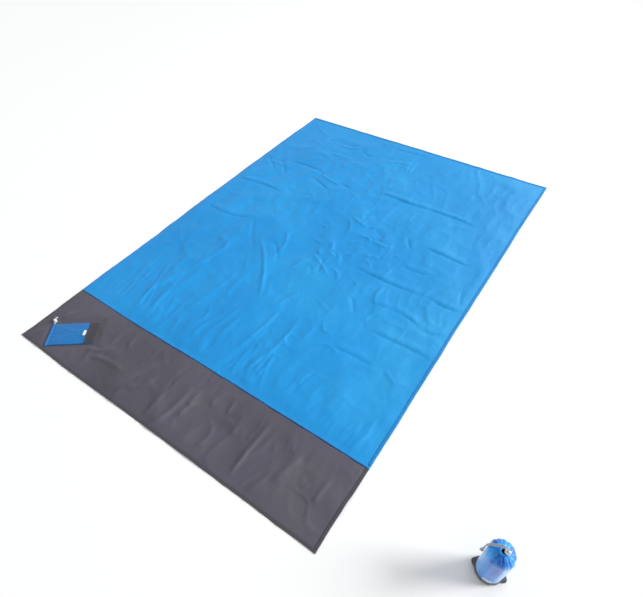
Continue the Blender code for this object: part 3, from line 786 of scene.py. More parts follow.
def pouch_coordinates(x, y):
    dx, dy = x - POUCH_CENTRE[0], y - POUCH_CENTRE[1]
    return (dx * math.cos(POUCH_TURN) + dy * math.sin(POUCH_TURN),
            -dx * math.sin(POUCH_TURN) + dy * math.cos(POUCH_TURN))


def held_flat(x, y):
    """1 under the pouch and its lock, 0 well away from it."""
    across, along = pouch_coordinates(x, y)
    outside = np.maximum(np.abs(across) - POUCH_LENGTH / 2, np.abs(along) - POUCH_WIDTH / 2)
    body = fade(0.030 - outside, 0, 0.026)
    lock = fade(0.040 - np.hypot(across + 0.0905, along - 0.070), 0, 0.018)
    return np.maximum(body, lock)


FOLD_ROOM = 0.0021       # height that the fold leaves for each side of the cloth, at its axis
FOLD_RISE = 0.066        # and how fast that room grows away from it


def clear_of_fold(height, y):
    """Lowers tall creases near the seam, so that the folded band doesn't press through the blue cloth."""
    room = FOLD_ROOM + FOLD_RISE * np.abs(y - SEAM_NEAR)
    return height / (1 + (height / room) ** 4) ** 0.25


def cloth_height(x, y):
    """Underside of the cloth over the floor at each place on the blanket."""
    swell = sum(top * swell_noise(x * by_x + from_x, y * by_y + from_y)
                for top, by_x, from_x, by_y, from_y in SWELLS)
    fine = FINE_WAVES * fine_noise(x * 62, y * 40)
    bent_x, bent_y = x + 0.05 * drift_noise(x * 5, y * 5 + 60), y + 0.05 * drift_noise(x * 5 + 90, y * 5)
    net = WIDE_NET * ridge(swell_noise(bent_x * 9 + 60, bent_y * 5 + 17))
    net = net + CLOSE_NET * ridge(swell_noise(bent_x * 19 + 31, bent_y * 12 + 70))
    net = net * (1 + 0.9 * fade(SEAM_MIDDLE - y, 0.01, 0.06))
    height = swell + fine + net + CREASE_SCALE * stroke_heights(x, y) + REST_HEIGHT
    sunk = LEAST_HEIGHT * np.exp((height - LEAST_HEIGHT) / LEAST_HEIGHT)
    height = np.where(height > LEAST_HEIGHT, height, sunk)
    lift = 1 - 0.985 * held_flat(x, y)
    near_seam = np.abs(y - SEAM_MIDDLE)
    calm = 0.45 + 0.55 * fade(near_seam, 0.004, 0.045)
    edge = np.minimum(np.minimum(x - LEFT, RIGHT - x), np.minimum(y - FOOT, HEAD - y))
    calm = calm * (0.42 + 0.58 * fade(edge, 0.0, 0.045))
    return 0.0002 + clear_of_fold(height * lift * calm, y)


def drifted(x, y):
    """Where a place on the flat cut lands: the sheet doesn't lie perfectly square."""
    slide_x = 0.0030 * drift_noise(x * 1.1 + 2, y * 3.1 + 7) + 0.0009 * drift_noise(x * 9, y * 14 + 50)
    slide_y = 0.0030 * drift_noise(x * 2.7 + 31, y * 1.3 + 3) + 0.0009 * drift_noise(x * 14 + 80, y * 9)
    return x + slide_x, y + slide_y


def on_cloth(x, y, above=0.0):
    """Points on the cloth, in place, a given height over its underside."""
    x, y = np.asarray(x, float), np.asarray(y, float)
    height = cloth_height(x.ravel(), y.ravel()).reshape(x.shape)
    px, py = drifted(x, y)
    return as_points(px, py, height + above)


# %% [markdown]
# ## The two panels
#
# Each panel is a real sheet with two sides. Its upper side has a fine grid, so that creases a few
# millimetres wide keep their crests. Its underside only has to close it, so it uses every fourth
# point, set just below the lowest cloth near it, and the rim joins the two with many-sided faces.
# That is half the faces of a thickened grid.

# %% Build a panel
COARSE = 4


def local_lowest(heights):
    """The lowest height within one coarse step of each point."""
    lowest = heights.copy()
    for axis in (0, 1):
        padded = np.pad(lowest, [(COARSE, COARSE) if a == axis else (0, 0) for a in (0, 1)], mode="edge")
        views = [np.take(padded, range(k, k + heights.shape[axis]), axis=axis)
                 for k in range(2 * COARSE + 1)]
        lowest = np.minimum.reduce(views)
    return lowest


def panel(name, low, high, columns, rows, material):
    """columns and rows are counts of coarse steps."""
    xs = np.linspace(low[0], high[0], columns * COARSE + 1)
    ys = np.linspace(low[1], high[1], rows * COARSE + 1)
    grid_x, grid_y = np.meshgrid(xs, ys)
    top = on_cloth(grid_x, grid_y, CLOTH_WALL)
    under = top.copy()
    under[..., 2] = local_lowest(top[..., 2]) - CLOTH_WALL
    under = under[::COARSE, ::COARSE]
    count, wide = top.shape[:2]
    vertices = np.concatenate([top.reshape(-1, 3), under.reshape(-1, 3)])
    faces = grid_faces(wide, count)
    first = count * wide
    faces += [tuple(reversed(face)) for face in grid_faces(columns + 1, rows + 1, first=first)]

    def fine(row, column):
        return row * wide + column

    def coarse(row, column):
        return first + row * (columns + 1) + column

    for step in range(columns):
        run = range(step * COARSE, (step + 1) * COARSE + 1)
        faces.append([fine(0, c) for c in reversed(run)] + [coarse(0, step), coarse(0, step + 1)])
        faces.append([fine(count - 1, c) for c in run] + [coarse(rows, step + 1), coarse(rows, step)])
    for step in range(rows):
        run = range(step * COARSE, (step + 1) * COARSE + 1)
        faces.append([fine(r, 0) for r in run] + [coarse(step + 1, 0), coarse(step, 0)])
        faces.append([fine(r, wide - 1) for r in reversed(run)]
                     + [coarse(step, columns), coarse(step + 1, columns)])
    obj = new_object(name, vertices, faces, material)
    print(name, len(faces), "faces, highest", round(float(top[..., 2].max()) * 1000, 1), "mm")
    return obj


TUCK = 0.004
main_cloth = panel("main_cloth", (LEFT + HEM_WIDTH - TUCK, SEAM_FAR - TUCK),
                   (RIGHT - HEM_WIDTH + TUCK, HEAD - HEM_WIDTH + TUCK), 68, 76, BLUE_CLOTH)
band_cloth = panel("band_cloth", (LEFT + HEM_WIDTH - TUCK, FOOT + HEM_WIDTH - TUCK),
                   (RIGHT - HEM_WIDTH + TUCK, SEAM_NEAR), 68, 14, GREY_CLOTH)

# %% [markdown]
# ## Hems and the cross seam
#
# The raw edges are turned under twice and sewn down, so a hem is a flat, slightly rounded strip about
# three layers thick. It is swept along the edge with a small section, and its height follows the
# cloth, with little puckers between stitches because thread pulls tighter than cloth. The cross seam
# is the same kind of strip: the blue panel's edge lapped over the grey one.

# %% Sweep the sewn strips
# Dark navy for a thin strip along the cross seam and for the pouch's side edge: painted shadow, the shade
# that a lapped edge casts.
SHADOW_NAVY = cloth_finish("painted_shadow_navy", "0B3F6E", "114E84", "1B6099",
                       offset=0.45, roughness=0.55, crinkle=0.0002)
pucker_noise = make_noise(57)
STRIP_SECTION = ((0.00, 0.25), (0.02, 0.72), (0.10, 1.00), (0.32, 0.94), (0.62, 0.98), (0.90, 0.96),
                 (0.985, 0.70), (1.00, 0.20), (0.97, 0.0), (0.5, 0.0), (0.03, 0.0))


def along_line(start, end, spacing):
    """Steps along a line, its direction and the direction to its left."""
    run = np.array(end, float) - np.array(start, float)
    length = float(np.hypot(*run))
    run /= length
    return np.linspace(0, length, max(8, round(length / spacing)) + 1), run, np.array((-run[1], run[0]))


def sewn_strip(name, start, end, width, thickness, material, spacing, seed, inward=1):
    """A strip from start to end; its section reaches `width` to the left (1) or right (-1) of it."""
    steps, run, side = along_line(start, end, spacing)
    pucker = 0.5 + 0.5 * pucker_noise(steps / 0.011 + seed, seed * 3.7)
    sway = 0.0005 * pucker_noise(steps / 0.03 + seed, 9.1 + seed)
    rows = []
    for place, level in STRIP_SECTION:
        out = (place * width + sway) * inward
        x, y = (start[k] + run[k] * steps + side[k] * out for k in (0, 1))
        puff = level * (thickness + 0.0006 * pucker * math.sin(math.pi * place))
        rows.append(on_cloth(x, y, 0) + np.array((0, 0, 1)) * puff[:, None])
    return closed_bar(name, rows, material)


HEM_WALL = 0.0013
SEAM_WALL = 0.0011
side_start = SEAM_FAR + 0.0002
head_start = HEAD - HEM_WIDTH
foot_end = FOOT + HEM_WIDTH
blue_edge = (HEM_WIDTH, HEM_WALL, BLUE_HEM)
grey_edge = (HEM_WIDTH, HEM_WALL, GREY_HEM)
lap = (SEAM_FAR - SEAM_NEAR, SEAM_WALL, BLUE_CLOTH)
STRIPS = {      # start, end, width, wall and finish, spacing of the steps, seed, side of the line
    "head_hem": ((LEFT, HEAD), (RIGHT, HEAD), *blue_edge, 0.005, 1, -1),
    "left_hem": ((LEFT, side_start), (LEFT, head_start), *blue_edge, 0.005, 2, -1),
    "right_hem": ((RIGHT, side_start), (RIGHT, head_start), *blue_edge, 0.005, 3, 1),
    "join_seam": ((LEFT, SEAM_NEAR), (RIGHT, SEAM_NEAR), *lap, 0.004, 4, 1),
    "foot_hem": ((LEFT, FOOT), (RIGHT, FOOT), *grey_edge, 0.005, 5, 1),
    "band_left_hem": ((LEFT, foot_end), (LEFT, SEAM_NEAR), *grey_edge, 0.003, 6, -1),
    "band_right_hem": ((RIGHT, foot_end), (RIGHT, SEAM_NEAR), *grey_edge, 0.003, 7, 1),
}
strips = {name: sewn_strip(name + "_strip", *row) for name, row in STRIPS.items()}
# A dark strip along the seam's near edge: a painted shadow line.
painted_seam_shadow_line = sewn_strip("painted_seam_shadow_line", (LEFT + 0.0005, SEAM_NEAR + 0.0002),
                          (RIGHT - 0.0005, SEAM_NEAR + 0.0002), 0.0040, SEAM_WALL + 0.0005, SHADOW_NAVY,
                          0.004, 8)
print("strips", list(strips))

# %% [markdown]
# ## Stitches
#
# A sewing machine leaves short dashes of thread, each sunk at its ends. They are all one tiny shape
# repeated along lines, which is a job for Geometry Nodes: the line is resampled at the stitch pitch,
# and a stretched low ball is placed at each point, turned along the line.

# %% Stitch tree and the lines it follows
def stitch_tree():
    tree = bpy.data.node_groups.new("stitches_on_a_line", "GeometryNodeTree")
    face = tree.interface
    face.new_socket("Geometry", in_out="INPUT", socket_type="NodeSocketGeometry")
    for name, value in (("Pitch", 0.0035), ("Stitch length", 0.0024), ("Stitch width", 0.0007)):
        socket = face.new_socket(name, in_out="INPUT", socket_type="NodeSocketFloat")
        socket.default_value = value
    face.new_socket("Thread", in_out="INPUT", socket_type="NodeSocketMaterial")
    face.new_socket("Geometry", in_out="OUTPUT", socket_type="NodeSocketGeometry")
    given = node(tree, "NodeGroupInput").outputs
    curve = node(tree, "GeometryNodeMeshToCurve", {"Mesh": given["Geometry"]})
    spaced = node(tree, "GeometryNodeResampleCurve", {"Curve": curve.outputs[0], "Length": given["Pitch"]},
                  mode="LENGTH")
    tangent = node(tree, "GeometryNodeInputTangent")
    turn = node(tree, "FunctionNodeAlignRotationToVector", {"Vector": tangent.outputs[0]}, axis="X")
    ball = node(tree, "GeometryNodeMeshUVSphere", {"Segments": 6, "Rings": 4, "Radius": 0.5})
    size = node(tree, "ShaderNodeCombineXYZ", {"X": given["Stitch length"], "Y": given["Stitch width"],
                                               "Z": given["Stitch width"]})
    placed = node(tree, "GeometryNodeInstanceOnPoints", {
        "Points": spaced.outputs[0], "Instance": ball.outputs[0],
        "Rotation": turn.outputs[0], "Scale": size.outputs[0],
    })
    real = node(tree, "GeometryNodeRealizeInstances", {"Geometry": placed.outputs[0]})
    dressed = node(tree, "GeometryNodeSetMaterial", {"Geometry": real.outputs[0],
                                                     "Material": given["Thread"]})
    shaded = node(tree, "GeometryNodeSetShadeSmooth", {"Geometry": dressed.outputs[0]})
    node(tree, "NodeGroupOutput", {"Geometry": shaded.outputs[0]})
    return tree


STITCH_TREE = stitch_tree()


def set_input(modifier, name, value):
    for item in modifier.node_group.interface.items_tree:
        if item.item_type == "SOCKET" and item.in_out == "INPUT" and item.name == name:
            modifier[item.identifier] = value


def sew(name, lines, thread, pitch=0.0035, length=0.0024, width=0.0007):
    """Stitches along lists of points, as one mesh."""
    vertices, edges = [], []
    for line in lines:
        first = len(vertices)
        vertices += [tuple(point) for point in line]
        edges += [(k, k + 1) for k in range(first, len(vertices) - 1)]
    mesh = bpy.data.meshes.new(name)
    mesh.from_pydata(vertices, edges, [])
    obj = bpy.data.objects.new(name, mesh)
    COLLECTION.objects.link(obj)
    modifier = obj.modifiers.new("stitches", "NODES")
    modifier.node_group = STITCH_TREE
    choices = {"Pitch": pitch, "Stitch length": length, "Stitch width": width, "Thread": thread}
    for key, value in choices.items():
        set_input(modifier, key, value)
    bake_modifiers(obj)
    print(name, len(obj.data.polygons), "faces")
    return obj


def seam_line(start, end, above, spacing=0.006):
    length = math.hypot(end[0] - start[0], end[1] - start[1])
    share = np.linspace(0, 1, max(3, round(length / spacing)))
    return on_cloth(start[0] + (end[0] - start[0]) * share, start[1] + (end[1] - start[1]) * share, above)


on_hem = HEM_WALL + 0.0003
on_seam = SEAM_WALL + 0.0003
inset = HEM_WIDTH - 0.0022
blanket_stitches = sew("blanket_stitches", [
    seam_line((LEFT + inset, side_start + 0.003), (LEFT + inset, HEAD - inset), on_hem),
    seam_line((LEFT + inset, HEAD - inset), (RIGHT - inset, HEAD - inset), on_hem),
    seam_line((RIGHT - inset, side_start + 0.003), (RIGHT - inset, HEAD - inset), on_hem),
], BLUE_THREAD)
seam_stitches = sew("seam_stitches", [
    seam_line((LEFT + 0.003, SEAM_NEAR + 0.0054), (RIGHT - 0.003, SEAM_NEAR + 0.0054), on_seam),
    seam_line((LEFT + 0.003, SEAM_MIDDLE + 0.0036), (RIGHT - 0.003, SEAM_MIDDLE + 0.0036), on_seam),
], BLUE_THREAD)
band_stitches = sew("band_stitches", [
    seam_line((LEFT + inset, SEAM_NEAR - 0.004), (LEFT + inset, FOOT + inset), on_hem),
    seam_line((LEFT + inset, FOOT + inset), (RIGHT - inset, FOOT + inset), on_hem),
    seam_line((RIGHT - inset, SEAM_NEAR - 0.004), (RIGHT - inset, FOOT + inset), on_hem),
], GREY_THREAD)

# %% [markdown]
# ## The empty pouch on the corner
#
# The pouch is the carry bag lying empty: two layers of blue cloth with a grey end, a hem at the mouth
# with the cord in it, and a small label. It is built in its own frame, mouth to one side, and then
# turned and set down on the band. Its upper layer never lies quite flat: it keeps air and creases.

# %% Pouch frame and its upper cloth
GROUND = 0.0011
POUCH_WALL = 0.0004
SEAM_EDGE = 0.004
channel_end = -POUCH_LENGTH / 2 + POUCH_CHANNEL
base_start = POUCH_LENGTH / 2 - POUCH_BASE
half_pouch = POUCH_WIDTH / 2
pouch_noise = make_noise(83)


def pouch_place(points):
    """From the pouch's own frame to the blanket's."""
    points = np.asarray(points, float)
    c, s = math.cos(POUCH_TURN), math.sin(POUCH_TURN)
    x = POUCH_CENTRE[0] + points[..., 0] * c - points[..., 1] * s
    y = POUCH_CENTRE[1] + points[..., 0] * s + points[..., 1] * c
    return as_points(x, y, points[..., 2])


POUCH_CREASES = ((-0.07, -0.045, 38, 0.085, 0.0045, 0.0013), (-0.055, 0.035, -24, 0.090, 0.0040, 0.0011),
                 (0.010, -0.048, 80, 0.060, 0.0040, 0.0012), (0.030, 0.046, -105, 0.055, 0.0035, 0.0010),
                 (-0.030, -0.010, 8, 0.070, 0.0050, 0.0012), (-0.080, 0.010, 10, 0.050, 0.0030, 0.0010),
                 (0.052, -0.040, 70, 0.050, 0.0040, 0.0010), (-0.084, -0.030, 4, 0.030, 0.0025, 0.0009),
                 (-0.084, 0.028, -6, 0.034, 0.0025, 0.0009), (-0.084, -0.008, 0, 0.026, 0.0024, 0.0008))


def pouch_top(x, y):
    """Upper side of the pouch's upper cloth over the ground."""
    along = 1 - np.abs(x / (POUCH_LENGTH / 2)) ** 3.0
    across = 1 - np.abs(y / half_pouch) ** 2.6
    puff = 0.0030 * np.clip(along, 0, 1) ** 0.8 * np.clip(across, 0, 1) ** 0.8
    wave = 0.0011 * pouch_noise(x * 34 + 4, y * 30 + 9) + 0.0004 * pouch_noise(x * 95, y * 80)
    for x0, y0, degrees, length, width, height in POUCH_CREASES:
        angle = math.radians(degrees)
        t = ((x - x0) * math.cos(angle) + (y - y0) * math.sin(angle)) / length
        a = -(x - x0) * math.sin(angle) + (y - y0) * math.cos(angle) + 0.002 * np.sin(t * 5)
        wave = wave + height / (1 + (1.6 * a / width) ** 2) * fade(t, -0.1, 0.2) * fade(1 - t, -0.1, 0.3)
    margin = np.clip(across, 0, 1) ** 0.5
    return GROUND + 0.0016 + puff + (wave + 0.0003) * margin


def pouch_layer(name, low, high, columns, rows, top, under, material):
    """A closed layer over a rectangle of the pouch, between two height functions."""
    xs, ys = np.linspace(low[0], high[0], columns), np.linspace(low[1], high[1], rows)
    grid_x, grid_y = np.meshgrid(xs, ys)
    wobble = 0.0006 * pouch_noise(grid_x * 40 + 60, grid_y * 40 + 20)
    upper, lower = (pouch_place(as_points(grid_x + wobble, grid_y - wobble * 0.7, level(grid_x, grid_y)))
                    for level in (top, under))
    return closed_sheet(name, upper, lower, material)


def layer_under(x, y):
    return pouch_top(x, y) - POUCH_WALL


def back_top(x, y):
    return GROUND + 0.0007


def back_under(x, y):
    """The side that lies on the ground, for the lower cloth and the grey end."""
    return GROUND + 0.0001


def edge_wrapped_under(x, y):
    """The upper cloth's underside, which runs down to the ground at the folded long edge."""
    turned = fade(y, half_pouch - 0.0025, half_pouch - 0.0005)
    return layer_under(x, y) * (1 - turned) + (GROUND + 0.0009) * turned


near_side = -half_pouch + SEAM_EDGE - 0.001
pouch_front = pouch_layer("pouch_front_cloth", (channel_end - 0.001, near_side),
                          (base_start + 0.0015, half_pouch), 81, 63, pouch_top, edge_wrapped_under,
                          POUCH_BLUE)
pouch_back = pouch_layer("pouch_back_cloth", (channel_end, near_side), (base_start, half_pouch - 0.0005),
                         24, 18, back_top, back_under, POUCH_BLUE)
print("pouch upper cloth", len(pouch_front.data.polygons), "faces")

# %% [markdown]
# ## The pouch's grey end, seams, mouth and label
#
# The grey end laps over the blue by a millimetre with a row of stitches. The bottom and side seams
# are narrow sewn edges. The mouth is a flat tube of cloth, slightly puckered where the cord drags in
# it, and its edge catches the light as a pale line. The label is a satin patch with a line pressed
# in along its border and no words on it.

# %% Pouch ends, seams and mouth
def grey_top(x, y):
    return pouch_top(x, y) + 0.0006 * fade(base_start + 0.006 - x, 0, 0.004)


pouch_end = pouch_layer("pouch_grey_end", (base_start, near_side),
                        (POUCH_LENGTH / 2 - SEAM_EDGE + 0.001, half_pouch), 31, 51, grey_top, back_under,
                        POUCH_GREY)


def pouch_edge(name, start, end, width, thickness, material, seed):
    """A narrow sewn edge from start to end in the pouch's frame, its width to the left."""
    steps, run, side = along_line(start, end, 0.0022)
    pucker = pucker_noise(steps / 0.006 + seed, seed * 2.1)
    rows = []
    for place, level in STRIP_SECTION:
        out = place * width + 0.0003 * pucker
        x, y = (start[k] + run[k] * steps + side[k] * out for k in (0, 1))
        z = GROUND + 0.0001 + level * thickness * (1 + 0.22 * pucker)
        rows.append(pouch_place(as_points(x, y, z)))
    return closed_bar(name, rows, material)


EDGE_WALL = 0.0017
pouch_bottom = pouch_edge("pouch_bottom_edge", (POUCH_LENGTH / 2, -half_pouch),
                          (POUCH_LENGTH / 2, half_pouch), SEAM_EDGE, EDGE_WALL, GREY_HEM, 3)
# The side edge takes the dark navy finish: a painted shadow line along the pouch's near long edge.
pouch_side = pouch_edge("pouch_side_edge", (channel_end, -half_pouch),
                        (POUCH_LENGTH / 2 - SEAM_EDGE, -half_pouch), SEAM_EDGE, EDGE_WALL, SHADOW_NAVY, 5)


def pouch_mouth():
    """The channel: a flattened tube open at the cord's end, with drag puckers along it."""
    stations = np.linspace(-half_pouch, half_pouch, 97)
    sides, squared = 20, 0.78
    middle_x = -POUCH_LENGTH / 2 + POUCH_CHANNEL / 2
    angles = round_angles(sides)
    c = np.sign(np.cos(angles)) * np.abs(np.cos(angles)) ** squared
    s = np.sign(np.sin(angles)) * np.abs(np.sin(angles)) ** squared
    rings = []
    for inner in (0, 1):
        for number, y in enumerate(stations if not inner else stations[::-1]):
            pucker, drag = pouch_noise(y * 160 + 7, 3.3), pouch_noise(y * 420 + 31, 8.1)
            wide = POUCH_CHANNEL / 2 * (1 + 0.05 * pucker + 0.03 * drag) - 0.0005 * inner
            tall = 0.0023 * (1 + 0.09 * pucker + 0.06 * drag) - 0.0005 * inner
            x = middle_x + wide * c + 0.0004 * pucker
            z = GROUND + 0.0025 + tall * s + 0.00025 * pucker * (s > 0)
            place_y = y if not (inner and number == len(stations) - 1) else y + 0.0015
            rings.append(as_points(x, place_y, z))
    faces = grid_faces(sides, len(rings), wrap=True) + end_caps(sides, len(rings))
    return outward(new_object("pouch_mouth_channel", pouch_place(np.concatenate(rings)), faces, POUCH_BLUE))


pouch_channel = pouch_mouth()
print("pouch pieces made")

# %% Pouch label and stitches
LABEL_LONG, LABEL_WIDE, LABEL_ROUND, LABEL_WALL = 0.025, 0.011, 0.0042, 0.0005


def label_patch(name, place):
    """A rounded patch: `place` turns (across, up, lift) arrays into points."""
    u, v = np.meshgrid(np.linspace(-1, 1, 41), np.linspace(-1, 1, 21))
    corner_u, corner_v = LABEL_ROUND / (LABEL_LONG / 2), LABEL_ROUND / (LABEL_WIDE / 2)
    over_u = np.clip(np.abs(u) - (1 - corner_u), 0, None) / corner_u
    over_v = np.clip(np.abs(v) - (1 - corner_v), 0, None) / corner_v
    pull = np.where((over_u > 0) & (over_v > 0),
                    np.maximum(over_u, over_v) / np.maximum(np.hypot(over_u, over_v), 1e-9), 1.0)
    x = np.sign(u) * (np.minimum(np.abs(u), 1 - corner_u) + over_u * pull * corner_u) * LABEL_LONG / 2
    y = np.sign(v) * (np.minimum(np.abs(v), 1 - corner_v) + over_v * pull * corner_v) * LABEL_WIDE / 2
    rim = np.minimum(1 - np.abs(u), 1 - np.abs(v))
    lift = LABEL_WALL * (0.55 + 0.45 * fade(rim, 0.0, 0.12)) - 0.00012 * bump(rim, 0.2, 0.06)
    return closed_sheet(name, place(x, y, lift), place(x, y, 0.00005), LABEL_TAPE)


label_middle = base_start - 0.002 - LABEL_WIDE / 2


def on_pouch(across, up, lift):
    x, y = label_middle - up, across
    return pouch_place(as_points(x, y, pouch_top(x, y) + lift + 0.0001))


pouch_label = label_patch("pouch_label_patch", on_pouch)


def pouch_line(x0, y0, x1, y1, above, top=pouch_top):
    share = np.linspace(0, 1, 40)
    x, y = x0 + (x1 - x0) * share, y0 + (y1 - y0) * share
    return pouch_place(as_points(x, y, top(x, y) + above))


edge_y = half_pouch - 0.003
pouch_stitches = sew("pouch_stitches", [
    pouch_line(base_start + 0.0022, near_side + 0.002, base_start + 0.0022, edge_y, 0.0001, grey_top),
    pouch_line(channel_end + 0.0014, near_side + 0.002, channel_end + 0.0014, edge_y, 0.0001),
], BLUE_THREAD, pitch=0.0027, length=0.0019, width=0.0005)

# %% [markdown]
# ## Cords
#
# A drawcord is a round braid of a fixed length, so it is swept from a path, and its own map carries
# the braid. Two strands leave the pouch's mouth, pass side by side through the cord lock and end in a
# knot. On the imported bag, the two strands rise through the lock, turn over it in a loop and hang down
# the bag's side to their knot, and the cord between them runs round the gathered neck, out of sight.

# %% Sweep a cord along a path
CORD_DIAMETER = 0.003
STRAND_OFFSET = 0.00165


def rings_round(path, side, other, radius, sides):
    """A ring of points round each point of a path."""
    angles = round_angles(sides)
    return path[:, None, :] + (np.cos(angles)[None, :, None] * side[:, None, :]
                               + np.sin(angles)[None, :, None] * other[:, None, :]) * radius


def map_along(obj, path, sides):
    """The cord's own map: metres along it, and turns round it."""
    lengths = travelled(path)
    layer = obj.data.uv_layers.new(name="along")
    for polygon in obj.data.polygons:
        corners = [obj.data.loops[k].vertex_index for k in polygon.loop_indices]
        wraps = max(c % sides for c in corners) - min(c % sides for c in corners) > sides / 2
        for loop, vertex in zip(polygon.loop_indices, corners):
            turn = vertex % sides
            if wraps and turn == 0:
                turn = sides
            layer.data[loop].uv = (lengths[vertex // sides], turn / sides)


def swept_cord(name, path, diameter=CORD_DIAMETER, material=CORD_BRAID, sides=14, start=(0, 1, 0)):
    path = np.asarray(path, float)
    _, side, other = path_frames(path, start)
    rings = rings_round(path, side, other, diameter / 2, sides)
    faces = grid_faces(sides, len(path), wrap=True) + end_caps(sides, len(path))
    obj = new_object(name, rings.reshape(-1, 3), faces, material)
    map_along(obj, path, sides)
    return outward(obj, merge=False)


def tied_knot(name, centre, size, along, across):
    """An overhand knot pulled tight: one cord on a small three-lobed loop."""
    t = np.linspace(0, math.tau, 91)
    loop = as_points(np.sin(t) + 2 * np.sin(2 * t), np.cos(t) - 2 * np.cos(2 * t), -np.sin(3 * t) * 1.3)
    loop *= (np.array(size) - CORD_DIAMETER) / 2 / np.abs(loop).max(axis=0)
    along, across = Vector(along).normalized(), Vector(across).normalized()
    axes = np.array([tuple(across), tuple(along), tuple(across.cross(along))])
    path = loop[:-1] @ axes + np.array(centre)
    tangents = np.roll(path, -1, axis=0) - np.roll(path, 1, axis=0)
    tangents /= np.linalg.norm(tangents, axis=1)[:, None]
    out = path - np.array(centre)
    side = out - tangents * (out * tangents).sum(axis=1)[:, None]
    side /= np.linalg.norm(side, axis=1)[:, None]
    sides = 12
    rings = rings_round(path, side, np.cross(tangents, side), CORD_DIAMETER / 2, sides)
    obj = new_object(name, rings.reshape(-1, 3), ring_faces(sides, len(path)), CORD_BRAID)
    map_along(obj, path, sides)
    return outward(obj, merge=False)


def middle_of(cad_node):
    low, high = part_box(cad_node)
    return [(a + b) / 2 for a, b in zip(low, high)]


# %% The pouch's cord
mouth_x = -POUCH_LENGTH / 2 + POUCH_CHANNEL / 2
CORD_IN_CHANNEL = GROUND + 0.0024
LOCK_LEVEL = 0.0081
lock_y = half_pouch + 0.0155


def pouch_strand(side):
    x = mouth_x + side * STRAND_OFFSET
    route = [(x, half_pouch - 0.014, CORD_IN_CHANNEL), (x, half_pouch - 0.006, CORD_IN_CHANNEL),
             (x, half_pouch + 0.002, CORD_IN_CHANNEL),
             (x, half_pouch + 0.0055, (CORD_IN_CHANNEL + LOCK_LEVEL) / 2),
             (x, lock_y - 0.0062, LOCK_LEVEL), (x, lock_y, LOCK_LEVEL), (x, lock_y + 0.0105, LOCK_LEVEL)]
    return smooth_path(pouch_place(route), 0.0015)


pouch_paths = {name: pouch_strand(side) for name, side in (("near", -1), ("far", 1))}
pouch_strands = {name: swept_cord("pouch_strand_" + name, path, start=(0, 0, 1))
                 for name, path in pouch_paths.items()}
pouch_middle, across_mouth, out_of_mouth = pouch_place([(0, 0, 0), (1, 0, 0), (0, 1, 0)])
pouch_knot = tied_knot("pouch_cord_knot", middle_of("pouch_knot"), (0.0098, 0.0080, 0.0080),
                       out_of_mouth - pouch_middle, across_mouth - pouch_middle)
print("pouch strand", round(path_length(pouch_paths["near"]), 4), "m")

# %% [markdown]
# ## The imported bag's blue body
#
# The bag is a tube of cloth over a rolled-up blanket. Its side is nearly straight, with long shallow
# folds where the roll pushes, and its top curves in to a small mouth, where all the spare cloth turns
# into deep pleats. So the body is a turned profile, pushed in and out along its own normal: slow waves
# low down, many narrow lobes near the mouth, and two pleats on the front that close to dark slits.

# %% Shape of the bag's side
NECK_RADIUS = 0.0105
SHOULDER_HEIGHT = 0.030
SHOULDER_POWER = 2 / 2.6
BAG_AROUND = 240
DARK_SLITS = ((-math.pi / 2 - 0.43, 0.150, 0.1745, 0.0036),     # angle, low end, high end, depth
              (-math.pi / 2 + 0.28, 0.163, 0.1748, 0.0034))
bag_noise = make_noise(101)


def bag_profile(steps_side=44, steps_top=40):
    """(radius, height) from the base's edge up to the neck."""
    side_top = NECK_HEIGHT - SHOULDER_HEIGHT
    side = [(BAG_RADIUS, z) for z in np.linspace(BASE_TOP + 0.0002, side_top, steps_side)]
    top = []
    for step in range(1, steps_top + 1):
        angle = math.pi / 2 * step / steps_top
        top.append((NECK_RADIUS + (BAG_RADIUS - NECK_RADIUS) * math.cos(angle) ** SHOULDER_POWER,
                    side_top + SHOULDER_HEIGHT * math.sin(angle) ** SHOULDER_POWER))
    return np.array(side + top)


def bag_folds(theta, z):
    """How far the cloth stands out from the turned profile."""
    rise = fade(z, BASE_TOP, BASE_TOP + 0.03) * (1 - fade(z, 0.150, 0.172))
    slow = (0.45 * np.cos(3 * theta + 0.6 + z * 5) + 0.42 * np.cos(5 * theta + 2.0 - z * 9)
            + 0.30 * np.cos(8 * theta + 0.4 + z * 14)
            + 0.55 * bag_noise(theta * 3 / math.pi + 20, z * 16 + 5))
    rounded = bag_noise(np.cos(theta) * 3 + 40, np.sin(theta) * 3 + z * 30)
    warped = theta + 0.16 * np.sin(2 * theta + 1.1) + 0.08 * np.sin(3 * theta + 2.0 + z * 40)
    pleat = np.abs(np.cos(warped * 7.5)) ** 0.7 - 0.62
    second = np.abs(np.cos(warped * 4.5 + 1.3)) ** 0.8 - 0.6
    gathering = fade(z, 0.128, 0.168)
    depth = 0.0016 * gathering * (1 - 0.45 * fade(z, 0.170, NECK_HEIGHT))
    hollow = bump(np.angle(np.exp(1j * (theta + math.pi / 2 - 0.08))), 0.0, 0.30)
    out = (0.0009 * rise * (slow - 1.1 * hollow) + 0.0004 * rounded * rise
           + depth * pleat + 0.8 * depth * second)
    for turn, low, high, deep in DARK_SLITS:
        away = np.angle(np.exp(1j * (theta - turn)))
        length = fade(z, low, low + 0.012) * (1 - fade(z, high, high + 0.002))
        out = out - deep * np.exp(-(away / 0.085) ** 2) * length
    return out


def round_bag(theta, reach, z):
    """Points at a distance from the bag's axis."""
    return as_points(BAG_X + reach * np.cos(theta), BAG_Y + reach * np.sin(theta), z)


def bag_point(theta, radius, z, lift=0.0, normal=(1.0, 0.0)):
    """Points on the folded cloth, or lifted from it along the profile's normal."""
    out = bag_folds(theta, z) + lift
    return round_bag(theta, radius + out * normal[0], z + out * normal[1])


